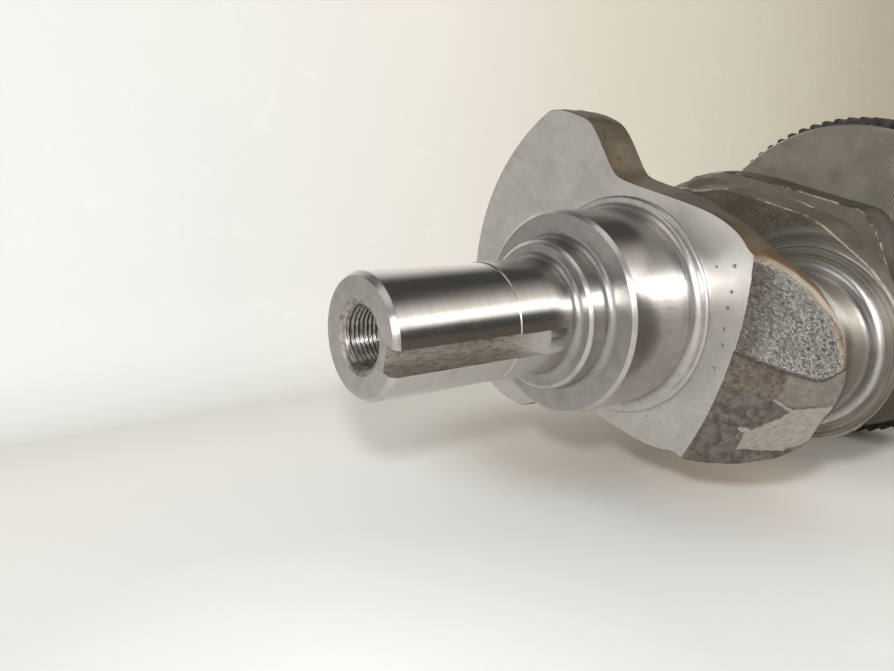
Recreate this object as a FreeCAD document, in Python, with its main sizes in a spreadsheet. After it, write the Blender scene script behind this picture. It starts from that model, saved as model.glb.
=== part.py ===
import FreeCAD, Part
import Sketcher
import math
import os

# Two-throw crankshaft with a shrunk-on toothed drive ring and a sealed pilot bearing.
# Millimetres. X runs along the crank axis from the keyed snout to the flywheel flange,
# the origin is on that axis in the front main journal, and +Z is up.
# Every piece is drawn with the first crankpin straight up (+Z), then turned about X into
# the bench attitude, where that crankpin points to -Y and a little down.
# "Front" is the snout end (-X) and "rear" the flange end (+X).

os.makedirs("parts", exist_ok=True)
doc = FreeCAD.newDocument("Crankshaft")
Vector = FreeCAD.Vector
Placement = FreeCAD.Placement
Rotation = FreeCAD.Rotation

# ------------------------------------------------------------------ sizes
SIZES = [
    # turn about X that brings the first crankpin from +Z to its resting direction
    ("bench_turn", 106.0),
    # stations along the crank axis
    ("at_snout_face", -68.3), ("at_snout_step", -35.0), ("at_collar", -17.0),
    ("at_main_front", -10.7), ("at_thrust_pad", 12.1), ("at_web_one", 13.3),
    ("at_pin_one", 28.7), ("at_web_two", 49.6), ("at_main_mid", 65.1),
    ("at_web_three", 89.9), ("at_pin_two", 105.4), ("at_cheek_boss", 126.0),
    ("at_round_web", 130.0), ("at_ring_seat", 136.0), ("at_main_rear", 148.0),
    ("at_flange", 173.0), ("at_flange_face", 189.0), ("at_spigot_end", 192.0),
    # turned radii
    ("snout_radius", 14.0), ("snout_rear_radius", 14.25), ("collar_radius", 18.65),
    ("main_radius", 26.0), ("thrust_radius", 29.5), ("pin_radius", 20.3),
    ("cheek_radius", 26.3), ("pin_one_pad_step", 2.4), ("round_web_radius", 54.5),
    ("seat_radius", 47.0), ("flange_radius", 38.0), ("spigot_radius", 22.5),
    # throw, thicknesses and edges
    ("throw", 34.3), ("web_thickness", 15.4), ("web_two_thickness", 15.5),
    ("pad_height", 1.2), ("journal_fillet", 2.2), ("collar_fillet", 2.0),
    ("edge_chamfer", 0.8), ("snout_chamfer", 1.0), ("flange_chamfer", 1.0),
    # web outlines, measured from the crank axis; cw is the counterweight,
    # and low_ marks the corners of web 1 on its -Y side
    ("cw_radius", 60.1), ("cw_corner_z", -40.6), ("cw_corner_y", 44.3),
    ("cw_ear_z", -25.4), ("cw_ear_y", 45.0), ("cw_neck_z", -11.6), ("cw_neck_y", 33.3),
    ("flank_top_z", 20.0), ("flank_y", 32.5), ("flank_low_z", -8.0),
    ("knee_z", 33.3), ("knee_y", 27.0), ("cheek_z", 42.0), ("cheek_y", 24.2),
    ("low_knee_y", 29.6), ("low_cheek_y", 27.0),
    ("nose_radius_one", 30.0), ("nose_top_z", 56.4),
    ("plain_heel_radius", 37.5), ("plain_heel_z", -18.7), ("plain_knee_z", 27.0),
    ("plain_knee_y", 31.4), ("plain_cheek_z", 46.0), ("plain_cheek_y", 23.9),
    ("nose_radius_two", 26.6),
    # conical relief on the pin end of each web
    ("relief_small_radius", 105.0), ("relief_large_radius", 126.5),
    ("relief_centre_z", -68.3),
    # snout keyway and bolt hole
    ("key_width", 6.0), ("key_floor", 10.5), ("key_slot_height", 8.0),
    ("key_cutter_radius", 44.0), ("key_run", 25.3),
    ("bolt_tap_radius", 6.19), ("bolt_tap_depth", 38.0), ("bolt_mouth_radius", 7.8),
    ("bolt_mouth_depth", 1.6), ("bolt_point", 3.6), ("bolt_point_tip", 0.05),
    # oil ways: each starts inside a main journal, at the given place along X; the lead
    # runs back behind the start, and the hole overrun carries cross holes past the surface
    ("oil_radius", 2.5), ("oil_hole_radius", 2.2), ("oil_hole_overrun", 2.0),
    ("oil_slope_deg", 31.2), ("oil_start_one", -4.0), ("oil_start_two", 157.0),
    ("oil_length", 110.0), ("oil_lead", 6.0),
    ("oil_plug_radius", 4.0), ("oil_plug_length", 6.0), ("oil_plug_sink", 4.0),
    ("oil_plug_seat_length", 30.0), ("oil_plug_socket", 2.31),
    ("oil_plug_socket_depth", 3.0),
    # flange
    ("flange_bolt_circle", 29.0), ("flange_bolt_radius", 4.4),
    ("flange_bolt_depth", 14.0), ("dowel_radius", 4.0), ("dowel_length", 16.0),
    ("dowel_hole_depth", 8.0), ("dowel_undercut", 0.6), ("dowel_neck_step", 0.3),
    ("dowel_chamfer", 0.6), ("pilot_relief_radius", 12.0),
    ("pilot_relief_at", 175.0), ("pilot_bore_at", 180.0),
    # toothed ring
    ("ring_width", 12.0), ("tooth_count", 80.0), ("tooth_tip_radius", 57.4),
    ("tooth_root_radius", 54.25), ("tooth_gap_tip", 1.42), ("tooth_gap_root", 0.62),
    ("tooth_gap_overrun", 0.4), ("timing_pin_radius", 2.0),
    ("timing_pin_length", 10.0), ("timing_pin_recess", 0.2),
    # pilot bearing, 15 x 35 x 11
    ("brg_bore_radius", 7.5), ("brg_outer_radius", 17.5), ("brg_width", 11.0),
    ("brg_pitch_radius", 12.5), ("brg_bore_chamfer", 0.5), ("brg_rim_chamfer", 0.6),
    ("ball_radius", 2.9765), ("race_radius", 3.03), ("inner_land_radius", 10.85),
    ("outer_land_radius", 14.7), ("seal_recess_radius", 15.6),
    ("seal_thickness", 1.2), ("seal_inset", 0.4), ("seal_lip_radius", 10.97),
    ("cage_in_radius", 11.05), ("cage_out_radius", 14.4), ("cage_wall", 0.6),
    ("cage_pocket_radius", 3.08), ("cage_half_gap", 0.02), ("cage_margin", 0.2),
    ("cage_bore_reach", 6.0), ("rivet_radius", 0.45), ("rivet_head_radius", 0.8),
    ("rivet_head_height", 0.35), ("rivet_hole_reach", 2.0),
    # how far a cutting tool stands clear of the face it starts from
    ("overrun", 1.0),
]
BALLS = 8
BALL_PITCH_DEG = 360 // BALLS
FLANGE_BOLTS = 6
BOLT_PITCH_DEG = 360 // FLANGE_BOLTS
PROBE_STEP = 0.25         # step of the search for the outer end of an oil way

sheet = doc.addObject("Spreadsheet::Sheet", "Sizes")
for row, (alias, value) in enumerate(SIZES, start=1):
    sheet.set("A%d" % row, alias)
    sheet.set("B%d" % row, "%.4f" % value)
    sheet.setAlias("B%d" % row, alias)
doc.recompute()
size = dict(SIZES)
REFERENCES = {alias: "Sizes." + alias for alias in size}
TURN = Placement(Vector(0, 0, 0), Rotation(Vector(1, 0, 0), size["bench_turn"]))
ALONG_X = Rotation(Vector(0, 1, 0), 90)


# ------------------------------------------------------------------ bound objects
def resolve(formula):
    """Turn a formula with {alias} fields into an expression on the sheet."""
    return formula.format(**REFERENCES)


def bind(obj, **formulas):
    """Bind properties to formulas; x, y and z stand for the placement's base."""
    for prop, formula in formulas.items():
        path = "Placement.Base." + prop if prop in ("x", "y", "z") else prop
        obj.setExpression(path, resolve(formula))


def bar(name, radius, x, length, y="0", z="0"):
    """A cylinder along X."""
    obj = doc.addObject("Part::Cylinder", name)
    obj.Placement = Placement(Vector(0, 0, 0), ALONG_X)
    bind(obj, Radius=radius, Height=length, x=x, y=y, z=z)
    return obj


def cone(name, front_radius, rear_radius, x, length, z="0"):
    """A truncated cone along X."""
    obj = doc.addObject("Part::Cone", name)
    obj.Placement = Placement(Vector(0, 0, 0), ALONG_X)
    bind(obj, Radius1=front_radius, Radius2=rear_radius, Height=length, x=x, z=z)
    return obj


def combine(kind, name, base, tool):
    """A Part::Cut or a Part::Common."""
    obj = doc.addObject("Part::" + kind, name)
    obj.Base = base
    obj.Tool = tool
    return obj


def fuse(name, shapes):
    obj = doc.addObject("Part::MultiFuse", name)
    obj.Shapes = shapes
    return obj


def compound(name, links):
    obj = doc.addObject("Part::Compound", name)
    obj.Links = links
    return obj


def around(circle, degrees):
    """Formulas for y and z on a circle about the crank axis, from +Y towards +Z."""
    angle = math.radians(degrees)
    return {"y": "{%s} * %.9f" % (circle, math.cos(angle)),
            "z": "{%s} * %.9f" % (circle, math.sin(angle))}


def circle_edges(shape, wanted):
    """Edge entries for the circles about X that match (x, centre z, radius, edge size)."""
    found = []
    for index, edge in enumerate(shape.Edges, start=1):
        curve = edge.Curve
        if not isinstance(curve, Part.Circle) or abs(abs(curve.Axis.x) - 1) > 1e-6:
            continue
        # short arcs are left alone
        if edge.Length < 2 * math.pi * curve.Radius * 0.45:
            continue
        for x, z, radius, edge_size in wanted:
            if (abs(curve.Center.x - x) < 1e-3 and abs(curve.Center.z - z) < 1e-3
                    and abs(curve.Radius - radius) < 1e-3):
                found.append((index, edge_size, edge_size))
    return found


def dress(kind, name, base, wanted):
    """A Part::Fillet or Part::Chamfer on the wanted circular edges of base."""
    doc.recompute()
    obj = doc.addObject("Part::" + kind, name)
    obj.Base = base
    obj.Edges = circle_edges(base.Shape, wanted)
    doc.recompute()
    return obj


# ------------------------------------------------------------------ sketches
def origin_feature(body, role):
    return [f for f in body.Origin.OriginFeatures if f.Role == role][0]


def cross_section(body, name, x):
    """A sketch square to the crank axis; its own x and y are the document's Y and Z."""
    sketch = body.newObject("Sketcher::SketchObject", name)
    sketch.AttachmentSupport = [(origin_feature(body, "YZ_Plane"), "")]
    sketch.MapMode = "FlatFace"
    sketch.setExpression("AttachmentOffset.Base.z", resolve(x))
    doc.recompute()
    return sketch


def dimension(sketch, formula, *constraint):
    """Add a constraint and bind its value."""
    index = sketch.addConstraint(Sketcher.Constraint(*constraint))
    sketch.setExpression("Constraints[%d]" % index, resolve(formula))


def close_outline(sketch, points, arcs):
    """points: (y formula, z formula, y, z). arcs: {segment: (mid y, mid z, radius formula)},
    where segment i runs from point i to point i + 1."""
    count = len(points)
    corners = [Vector(point[2], point[3], 0) for point in points]
    for i, first in enumerate(corners):
        last = corners[(i + 1) % count]
        if i in arcs:
            middle = Vector(arcs[i][0], arcs[i][1], 0)
            sketch.addGeometry(Part.Arc(first, middle, last), False)
        else:
            sketch.addGeometry(Part.LineSegment(first, last), False)
    # an arc may be stored the other way round, so find which end is the first
    ends = []
    for i, first in enumerate(corners):
        forwards = (sketch.Geometry[i].StartPoint - first).Length < 1e-4
        ends.append((1, 2) if forwards else (2, 1))
    for i in range(count):
        j = (i + 1) % count
        sketch.addConstraint(
            Sketcher.Constraint("Coincident", i, ends[i][1], j, ends[j][0]))
    for i, (y_formula, z_formula, y, z) in enumerate(points):
        dimension(sketch, y_formula, "DistanceX", -1, 1, i, ends[i][0], y)
        dimension(sketch, z_formula, "DistanceY", -1, 1, i, ends[i][0], z)
        if i in arcs:
            dimension(sketch, arcs[i][2], "Radius", i, sketch.Geometry[i].Radius)
    doc.recompute()


# ------------------------------------------------------------------ the three shaped webs
def outline_points(names, side=1):
    """Outline points from pairs of aliases; side -1 mirrors them to -Y."""
    sign = "-" if side < 0 else ""
    return [("%s{%s}" % (sign, y), "{%s}" % z, side * size[y], size[z]) for y, z in names]


def plain_arcs(side):
    """Nose about the crankpin and heel about the crank axis; side 1 has its nose at +Z."""
    return {3: (0, side * (size["throw"] + size["nose_radius_two"]), "{nose_radius_two}"),
            7: (0, -side * size["plain_heel_radius"], "{plain_heel_radius}")}


def make_web(name, thickness, points, arcs, front_relief, rear_relief, relief_z):
    """A slab with the given outline, trimmed by a cone."""
    station = "{at_%s}" % name
    body = doc.addObject("PartDesign::Body", name + "_slab")
    sketch = cross_section(body, name + "_outline", station)
    close_outline(sketch, points, arcs)
    pad = body.newObject("PartDesign::Pad", name + "_pad")
    pad.Profile = sketch
    bind(pad, Length=thickness)
    doc.recompute()
    relief = cone(name + "_relief", front_relief, rear_relief, station, thickness, relief_z)
    web = combine("Common", name, body, relief)
    doc.recompute()
    return web


def make_webs():
    small, large = "{relief_small_radius}", "{relief_large_radius}"
    # web 1: counterweight below, crankpin end above
    flank = [("cw_corner_y", "cw_corner_z"), ("cw_ear_y", "cw_ear_z"),
             ("cw_neck_y", "cw_neck_z"), ("flank_y", "flank_low_z"),
             ("flank_y", "flank_top_z")]
    points = (outline_points(flank + [("knee_y", "knee_z"), ("cheek_y", "cheek_z")])
              + outline_points([("low_cheek_y", "cheek_z"), ("low_knee_y", "knee_z")]
                               + flank[::-1], -1))
    nose_y = (size["cheek_y"] - size["low_cheek_y"]) / 2
    web_one = make_web("web_one", "{web_thickness}", points,
                       {6: (nose_y, size["nose_top_z"], "{nose_radius_one}"),
                        13: (0, -size["cw_radius"], "{cw_radius}")},
                       small, large, "{relief_centre_z}")
    # web 2: plain
    flank = [("flank_y", "plain_heel_z"), ("flank_y", "flank_low_z"),
             ("plain_knee_y", "plain_knee_z"), ("plain_cheek_y", "plain_cheek_z")]
    plain = outline_points(flank) + outline_points(flank[::-1], -1)
    web_two = make_web("web_two", "{web_two_thickness}", plain, plain_arcs(1),
                       large, small, "{relief_centre_z}")
    # web 3: the outline of web 2 turned half way round, so its nose surrounds crankpin 2
    turned = [("-(%s)" % y_formula, "-(%s)" % z_formula, -y, -z)
              for y_formula, z_formula, y, z in plain]
    web_three = make_web("web_three", "{web_two_thickness}", turned, plain_arcs(-1),
                         small, large, "-{relief_centre_z}")
    return [web_one, web_two, web_three]


# ------------------------------------------------------------------ forging before drilling
def stretch(name, radius, start, end, z="0"):
    """A turned length between two stations."""
    return bar(name, "{%s}" % radius, "{%s}" % start, "{%s} - {%s}" % (end, start), z=z)


def pad_after(name, radius, station, z="0"):
    """A thin round pad on the rear side of a station."""
    return bar(name, radius, "{%s}" % station, "{pad_height}", z=z)


def pad_before(name, radius, station, z="0"):
    """A thin round pad on the front side of a station."""
    return bar(name, radius, "{%s} - {pad_height}" % station, "{pad_height}", z=z)


def make_forging_blank():
    webs = make_webs()
    pin_one, pin_two = "{throw}", "-{throw}"
    thrust, cheek = "{thrust_radius}", "{cheek_radius}"
    turned = [
        stretch("snout_front", "snout_radius", "at_snout_face", "at_snout_step"),
        stretch("snout_rear", "snout_rear_radius", "at_snout_step", "at_collar"),
        stretch("collar", "collar_radius", "at_collar", "at_main_front"),
        stretch("main_front", "main_radius", "at_main_front", "at_web_one"),
        pad_after("thrust_pad", thrust, "at_thrust_pad"),
        stretch("pin_one", "pin_radius", "at_pin_one", "at_web_two", pin_one),
        pad_after("pin_one_pad_front", cheek + " - {pin_one_pad_step}", "at_pin_one", pin_one),
        pad_before("pin_one_pad_rear", cheek, "at_web_two", pin_one),
        stretch("main_mid", "main_radius", "at_main_mid", "at_web_three"),
        pad_after("main_mid_pad_front", thrust, "at_main_mid"),
        pad_before("main_mid_pad_rear", thrust, "at_web_three"),
        stretch("pin_two", "pin_radius", "at_pin_two", "at_round_web", pin_two),
        pad_after("pin_two_pad_front", cheek, "at_pin_two", pin_two),
        stretch("pin_two_boss", "cheek_radius", "at_cheek_boss", "at_round_web", pin_two),
        stretch("round_web", "round_web_radius", "at_round_web", "at_ring_seat"),
        stretch("ring_seat", "seat_radius", "at_ring_seat", "at_main_rear"),
        stretch("main_rear", "main_radius", "at_main_rear", "at_flange"),
        pad_after("main_rear_pad", thrust, "at_main_rear"),
        stretch("flange", "flange_radius", "at_flange", "at_flange_face"),
        stretch("spigot", "spigot_radius", "at_flange_face", "at_spigot_end"),
    ]
    blank = fuse("forging_blank", turned + webs)
    blank.Refine = True
    return blank


def make_dressed_blank():
    """The blank with its journal fillets and edge chamfers."""
    throw, pad = size["throw"], size["pad_height"]
    main, pin = size["main_radius"], size["pin_radius"]
    fillet, collar_fillet = size["journal_fillet"], size["collar_fillet"]
    # x, centre z, radius, edge size
    fillets = [
        (size["at_collar"], 0, size["snout_rear_radius"], collar_fillet),
        (size["at_main_front"], 0, size["collar_radius"], collar_fillet),
        (size["at_thrust_pad"], 0, main, fillet),
        (size["at_pin_one"] + pad, throw, pin, fillet),
        (size["at_web_two"] - pad, throw, pin, fillet),
        (size["at_main_mid"] + pad, 0, main, fillet),
        (size["at_web_three"] - pad, 0, main, fillet),
        (size["at_pin_two"] + pad, -throw, pin, fillet),
        (size["at_cheek_boss"], -throw, pin, fillet),
        (size["at_main_rear"] + pad, 0, main, fillet),
        (size["at_flange"], 0, main, fillet),
    ]
    chamfers = [
        (size["at_snout_face"], 0, size["snout_radius"], size["snout_chamfer"]),
        (size["at_collar"], 0, size["collar_radius"], size["edge_chamfer"]),
        (size["at_main_front"], 0, main, size["edge_chamfer"]),
        (size["at_flange"], 0, size["flange_radius"], size["flange_chamfer"]),
        (size["at_flange_face"], 0, size["flange_radius"], size["flange_chamfer"]),
        (size["at_spigot_end"], 0, size["spigot_radius"], size["edge_chamfer"]),
    ]
    rounded = dress("Fillet", "forging_fillets", make_forging_blank(), fillets)
    return dress("Chamfer", "forging_chamfers", rounded, chamfers)


dressed_blank = make_dressed_blank()


# ------------------------------------------------------------------ oil ways
def direction(angle):
    """Unit vector at angle degrees from +Z towards +X."""
    return Vector(math.sin(math.radians(angle)), 0, math.cos(math.radians(angle)))


def oil_start(start_x, pin_x, side):
    """Point at start_x on the drilling through the middle of a crankpin at side * throw."""
    slope = math.tan(math.radians(size["oil_slope_deg"]))
    return Vector(start_x, 0, side * (size["throw"] - abs(pin_x - start_x) * slope))


def plug_seat(start, angle):
    """Bottom of the plug seat, set back from where the drilling leaves the forging."""
    ray = direction(angle)
    steps = range(int(size["oil_length"] / PROBE_STEP))
    leaves_at = max(k * PROBE_STEP for k in steps
                    if dressed_blank.Shape.isInside(start + ray * (k * PROBE_STEP), 1e-3, True))
    return start + ray * (leaves_at - size["oil_plug_length"] - size["oil_plug_sink"])


pin_one_mid = (size["at_pin_one"] + size["at_web_two"]) / 2
pin_two_mid = (size["at_pin_two"] + size["at_cheek_boss"]) / 2
# the first runs rearwards and up through crankpin 1 to the relief of web 2,
# the second frontwards and down through crankpin 2 to the relief of web 3
start_one = oil_start(size["oil_start_one"], pin_one_mid, 1)
start_two = oil_start(size["oil_start_two"], pin_two_mid, -1)
angle_one = 90 - size["oil_slope_deg"]
angle_two = -(90 + size["oil_slope_deg"])
seat_one = plug_seat(start_one, angle_one)
seat_two = plug_seat(start_two, angle_two)


def slant(name, radius, length, base, angle):
    """A cylinder in the XZ plane from base, at angle degrees from +Z towards +X."""
    obj = doc.addObject("Part::Cylinder", name)
    obj.Placement = Placement(base, Rotation(Vector(0, 1, 0), angle))
    bind(obj, Radius=radius, Height=length)
    return obj


def cross_hole(name, x, z, turn, length):
    """An oil hole square to the crank axis; turn is about X, from +Z."""
    obj = doc.addObject("Part::Cylinder", name)
    obj.Placement = Placement(Vector(x, 0, z), Rotation(Vector(1, 0, 0), turn))
    obj.Height = length
    bind(obj, Radius="{oil_hole_radius}")
    return obj


def oil_tools():
    """The slanted drillings, the holes that bring oil to and from them, the plug seats."""
    tools = []
    for name, start, angle in (("oil_way_one", start_one, angle_one),
                               ("oil_way_two", start_two, angle_two)):
        base = start - direction(angle) * size["oil_lead"]
        tools.append(slant(name, "{oil_radius}", "{oil_length} + {oil_lead}", base, angle))
    throw = size["throw"]
    main_reach = size["main_radius"] + size["oil_hole_overrun"]
    pin_reach = size["pin_radius"] + size["oil_hole_overrun"]
    tools += [
        cross_hole("oil_main_front", start_one.x, start_one.z, 180, main_reach + start_one.z),
        cross_hole("oil_pin_one", pin_one_mid, throw, 90, pin_reach),
        cross_hole("oil_main_rear", start_two.x, start_two.z, 0, main_reach - start_two.z),
        cross_hole("oil_pin_two", pin_two_mid, -throw, -90, pin_reach),
    ]
    for name, seat, angle in (("plug_seat_one", seat_one, angle_one),
                              ("plug_seat_two", seat_two, angle_two)):
        tools.append(slant(name, "{oil_plug_radius}", "{oil_plug_seat_length}", seat, angle))
    return tools


# ------------------------------------------------------------------ other cuts in the forging
def keyway_tools():
    """Sledge-runner keyway: a slot, ending where the round cutter lifts out."""
    slot = doc.addObject("Part::Box", "key_slot")
    bind(slot, Length="{key_run}", Width="{key_width}", Height="{key_slot_height}",
         x="{at_snout_face}", y="-{key_width} / 2", z="{key_floor}")
    cutter = doc.addObject("Part::Cylinder", "key_cutter")
    cutter.Placement = Placement(Vector(0, 0, 0), Rotation(Vector(1, 0, 0), -90))
    bind(cutter, Radius="{key_cutter_radius}", Height="{key_width}",
         x="{at_snout_face} + {key_run}", y="-{key_width} / 2",
         z="{key_floor} + {key_cutter_radius}")
    return [slot, cutter]


def snout_bolt_tools():
    """Tapped hole in the snout, its countersunk mouth and its drill point."""
    return [
        bar("bolt_hole", "{bolt_tap_radius}", "{at_snout_face}", "{bolt_tap_depth}"),
        cone("bolt_mouth", "{bolt_mouth_radius}", "{bolt_tap_radius}",
             "{at_snout_face}", "{bolt_mouth_depth}"),
        cone("bolt_drill_point", "{bolt_tap_radius}", "{bolt_point_tip}",
             "{at_snout_face} + {bolt_tap_depth}", "{bolt_point}"),
    ]


def pilot_and_timing_tools():
    return [
        stretch("pilot_bore", "brg_outer_radius", "pilot_bore_at", "at_spigot_end"),
        stretch("pilot_relief", "pilot_relief_radius", "pilot_relief_at", "pilot_bore_at"),
        bar("timing_pin_hole", "{timing_pin_radius}", "{at_main_rear} - {timing_pin_length}",
            "{timing_pin_length}", z="{seat_radius}"),
    ]


def flange_tool():
    """Flywheel bolt holes and the dowel hole, cut together."""
    holes = [bar("flange_bolt_%d" % (k + 1), "{flange_bolt_radius}",
                 "{at_flange_face} - {flange_bolt_depth}", "{flange_bolt_depth} + {overrun}",
                 **around("flange_bolt_circle", BOLT_PITCH_DEG * k + BOLT_PITCH_DEG // 2))
             for k in range(FLANGE_BOLTS)]
    holes.append(bar("dowel_hole", "{dowel_radius}", "{at_flange_face} - {dowel_hole_depth}",
                     "{dowel_hole_depth} + {overrun}", y="{flange_bolt_circle}"))
    return compound("flange_holes", holes)


def make_forging():
    """Cut the tools from the blank one at a time; each has to remove something."""
    tools = (keyway_tools() + snout_bolt_tools() + oil_tools()
             + pilot_and_timing_tools() + [flange_tool()])
    doc.recompute()
    base = dressed_blank
    for number, tool in enumerate(tools, start=1):
        name = "crank_forging" if number == len(tools) else "forging_cut_%d" % number
        step = combine("Cut", name, base, tool)
        doc.recompute()
        if (step.Shape.isNull() or not step.Shape.isValid()
                or not step.Shape.Volume < base.Shape.Volume - 0.5):
            raise SystemExit("%s cut nothing or failed" % tool.Name)
        base = step
    return base


# ------------------------------------------------------------------ toothed ring
def pocket(body, name, sketch, length, backwards=False):
    """Cut a sketch into a body, towards -X, or towards +X if backwards."""
    volume = body.Shape.Volume
    cut = body.newObject("PartDesign::Pocket", name)
    cut.Profile = sketch
    cut.Type = "Length"
    cut.Reversed = backwards
    bind(cut, Length=length)
    body.Tip = cut
    doc.recompute()
    if not body.Shape.Volume < volume - 5:
        raise SystemExit("%s cut nothing" % name)
    return cut


def make_gear_ring():
    ring = doc.addObject("PartDesign::Body", "gear_ring")
    section = cross_section(ring, "ring_section", "{at_ring_seat}")
    radii = ("tooth_tip_radius", "seat_radius")
    for alias in radii:
        section.addGeometry(
            Part.Circle(Vector(0, 0, 0), Vector(0, 0, 1), size[alias]), False)
    for i, alias in enumerate(radii):
        section.addConstraint(Sketcher.Constraint("Coincident", i, 3, -1, 1))
        dimension(section, "{%s}" % alias, "Radius", i, size[alias])
    doc.recompute()
    pad = ring.newObject("PartDesign::Pad", "ring_pad")
    pad.Profile = section
    bind(pad, Length="{ring_width}")
    doc.recompute()

    # one tooth gap at +Z, repeated round the ring
    root, tip = size["tooth_gap_root"], size["tooth_gap_tip"]
    root_z = size["tooth_root_radius"]
    top_z = size["tooth_tip_radius"] + size["tooth_gap_overrun"]
    top_formula = "{tooth_tip_radius} + {tooth_gap_overrun}"
    gap = cross_section(ring, "tooth_gap", "{at_ring_seat}")
    close_outline(gap, [
        ("{tooth_gap_root}", "{tooth_root_radius}", root, root_z),
        ("{tooth_gap_tip}", top_formula, tip, top_z),
        ("-{tooth_gap_tip}", top_formula, -tip, top_z),
        ("-{tooth_gap_root}", "{tooth_root_radius}", -root, root_z)], {})
    gap_cut = pocket(ring, "tooth_gap_cut", gap, "{ring_width}", backwards=True)
    pattern = ring.newObject("PartDesign::PolarPattern", "tooth_pattern")
    pattern.Originals = [gap_cut]
    pattern.Axis = (origin_feature(ring, "X_Axis"), [""])
    pattern.Angle = 360
    pattern.Occurrences = int(size["tooth_count"])
    bind(pattern, Occurrences="{tooth_count}")
    ring.Tip = pattern
    doc.recompute()

    # half of the timing pin's hole lies in the ring, half in its seat
    hole = cross_section(ring, "timing_hole_sketch", "{at_main_rear}")
    hole.addGeometry(Part.Circle(Vector(0, size["seat_radius"], 0), Vector(0, 0, 1),
                                 size["timing_pin_radius"]), False)
    hole.addConstraint(Sketcher.Constraint("PointOnObject", 0, 3, -2))
    dimension(hole, "{seat_radius}", "DistanceY", -1, 1, 0, 3, size["seat_radius"])
    dimension(hole, "{timing_pin_radius}", "Radius", 0, size["timing_pin_radius"])
    doc.recompute()
    pocket(ring, "timing_hole", hole, "{timing_pin_length}")
    return ring


# ------------------------------------------------------------------ pins and plugs
def make_timing_pin():
    pin = bar("gear_ring_pin", "{timing_pin_radius}", "{at_main_rear} - {timing_pin_length}",
              "{timing_pin_length} - {timing_pin_recess}", z="{seat_radius}")
    doc.recompute()
    # a bound placement would undo the bench turn
    for axis in ("x", "y", "z"):
        pin.setExpression("Placement.Base." + axis, None)
    return pin


def make_oil_plug(name, seat, angle):
    """A headless screwed plug with a hexagon socket in its outer end."""
    core = doc.addObject("Part::Cylinder", name + "_core")
    bind(core, Radius="{oil_plug_radius}", Height="{oil_plug_length}")
    socket = doc.addObject("Part::Prism", name + "_hex")
    socket.Polygon = 6
    bind(socket, Circumradius="{oil_plug_socket}",
         Height="{oil_plug_socket_depth} + {overrun}",
         z="{oil_plug_length} - {oil_plug_socket_depth}")
    plug = combine("Cut", name, core, socket)
    plug.Placement = Placement(seat, Rotation(Vector(0, 1, 0), angle))
    return plug


def make_dowel():
    """Pressed shank, a narrow undercut at the flange face, and the free end."""
    face, half_neck, y = "{at_flange_face}", "{dowel_undercut} / 2", "{flange_bolt_circle}"
    core = fuse("dowel_core", [
        bar("dowel_shank", "{dowel_radius}", face + " - {dowel_hole_depth}",
            "{dowel_hole_depth} - " + half_neck, y=y),
        bar("dowel_neck", "{dowel_radius} - {dowel_neck_step}", face + " - " + half_neck,
            "{dowel_undercut}", y=y),
        bar("dowel_free_end", "{dowel_radius}", face + " + " + half_neck,
            "{dowel_length} - {dowel_hole_depth} - " + half_neck, y=y)])
    front = size["at_flange_face"] - size["dowel_hole_depth"]
    ends = [(x, 0, size["dowel_radius"], size["dowel_chamfer"])
            for x in (front, front + size["dowel_length"])]
    return dress("Chamfer", "flywheel_dowel", core, ends)


# ------------------------------------------------------------------ pilot bearing
BRG_MIDDLE = "{pilot_bore_at} + {brg_width} / 2"
FRONT_SEAL_AT = "{pilot_bore_at} + {seal_inset}"
REAR_SEAL_AT = "{pilot_bore_at} + {brg_width} - {seal_inset} - {seal_thickness}"


def ring_tube_and_groove(name, in_radius, out_radius):
    """A plain tube, and the torus that cuts its ball groove."""
    outer = bar(name + "_outer", out_radius, "{pilot_bore_at}", "{brg_width}")
    inner = bar(name + "_inner", in_radius, "{pilot_bore_at} - {overrun}",
                "{brg_width} + 2 * {overrun}")
    tube = combine("Cut", name + "_tube", outer, inner)
    groove = doc.addObject("Part::Torus", name + "_groove")
    groove.Placement = Placement(Vector(0, 0, 0), ALONG_X)
    bind(groove, x=BRG_MIDDLE, Radius1="{brg_pitch_radius}", Radius2="{race_radius}")
    return tube, groove


def chamfer_ring(name, raced, radius, edge_size):
    """Chamfer both end circles of the given radius."""
    front = size["pilot_bore_at"]
    ends = [(x, 0, radius, edge_size) for x in (front, front + size["brg_width"])]
    return dress("Chamfer", name, raced, ends)


def make_inner_ring():
    tube, groove = ring_tube_and_groove("inner_ring", "{brg_bore_radius}",
                                        "{inner_land_radius}")
    raced = combine("Cut", "inner_ring_raced", tube, groove)
    return chamfer_ring("pilot_inner_ring", raced, size["brg_bore_radius"],
                        size["brg_bore_chamfer"])


def make_outer_ring():
    tube, groove = ring_tube_and_groove("outer_ring", "{outer_land_radius}",
                                        "{brg_outer_radius}")
    recess_length = "{overrun} + {seal_inset} + {seal_thickness}"
    tools = fuse("outer_ring_tools", [
        groove,
        bar("outer_ring_recess_front", "{seal_recess_radius}",
            "{pilot_bore_at} - {overrun}", recess_length),
        bar("outer_ring_recess_rear", "{seal_recess_radius}", REAR_SEAL_AT, recess_length)])
    raced = combine("Cut", "outer_ring_raced", tube, tools)
    return chamfer_ring("pilot_outer_ring", raced, size["brg_outer_radius"],
                        size["brg_rim_chamfer"])


def spheres(name, radius):
    """One sphere at each ball's place."""
    made = []
    for k in range(BALLS):
        ball = doc.addObject("Part::Sphere", "%s_%d" % (name, k + 1))
        bind(ball, Radius=radius, x=BRG_MIDDLE,
             **around("brg_pitch_radius", BALL_PITCH_DEG * k))
        made.append(ball)
    return made


def rivet_place(k):
    """Half way between two balls."""
    return around("brg_pitch_radius", BALL_PITCH_DEG * k + BALL_PITCH_DEG / 2)


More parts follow.
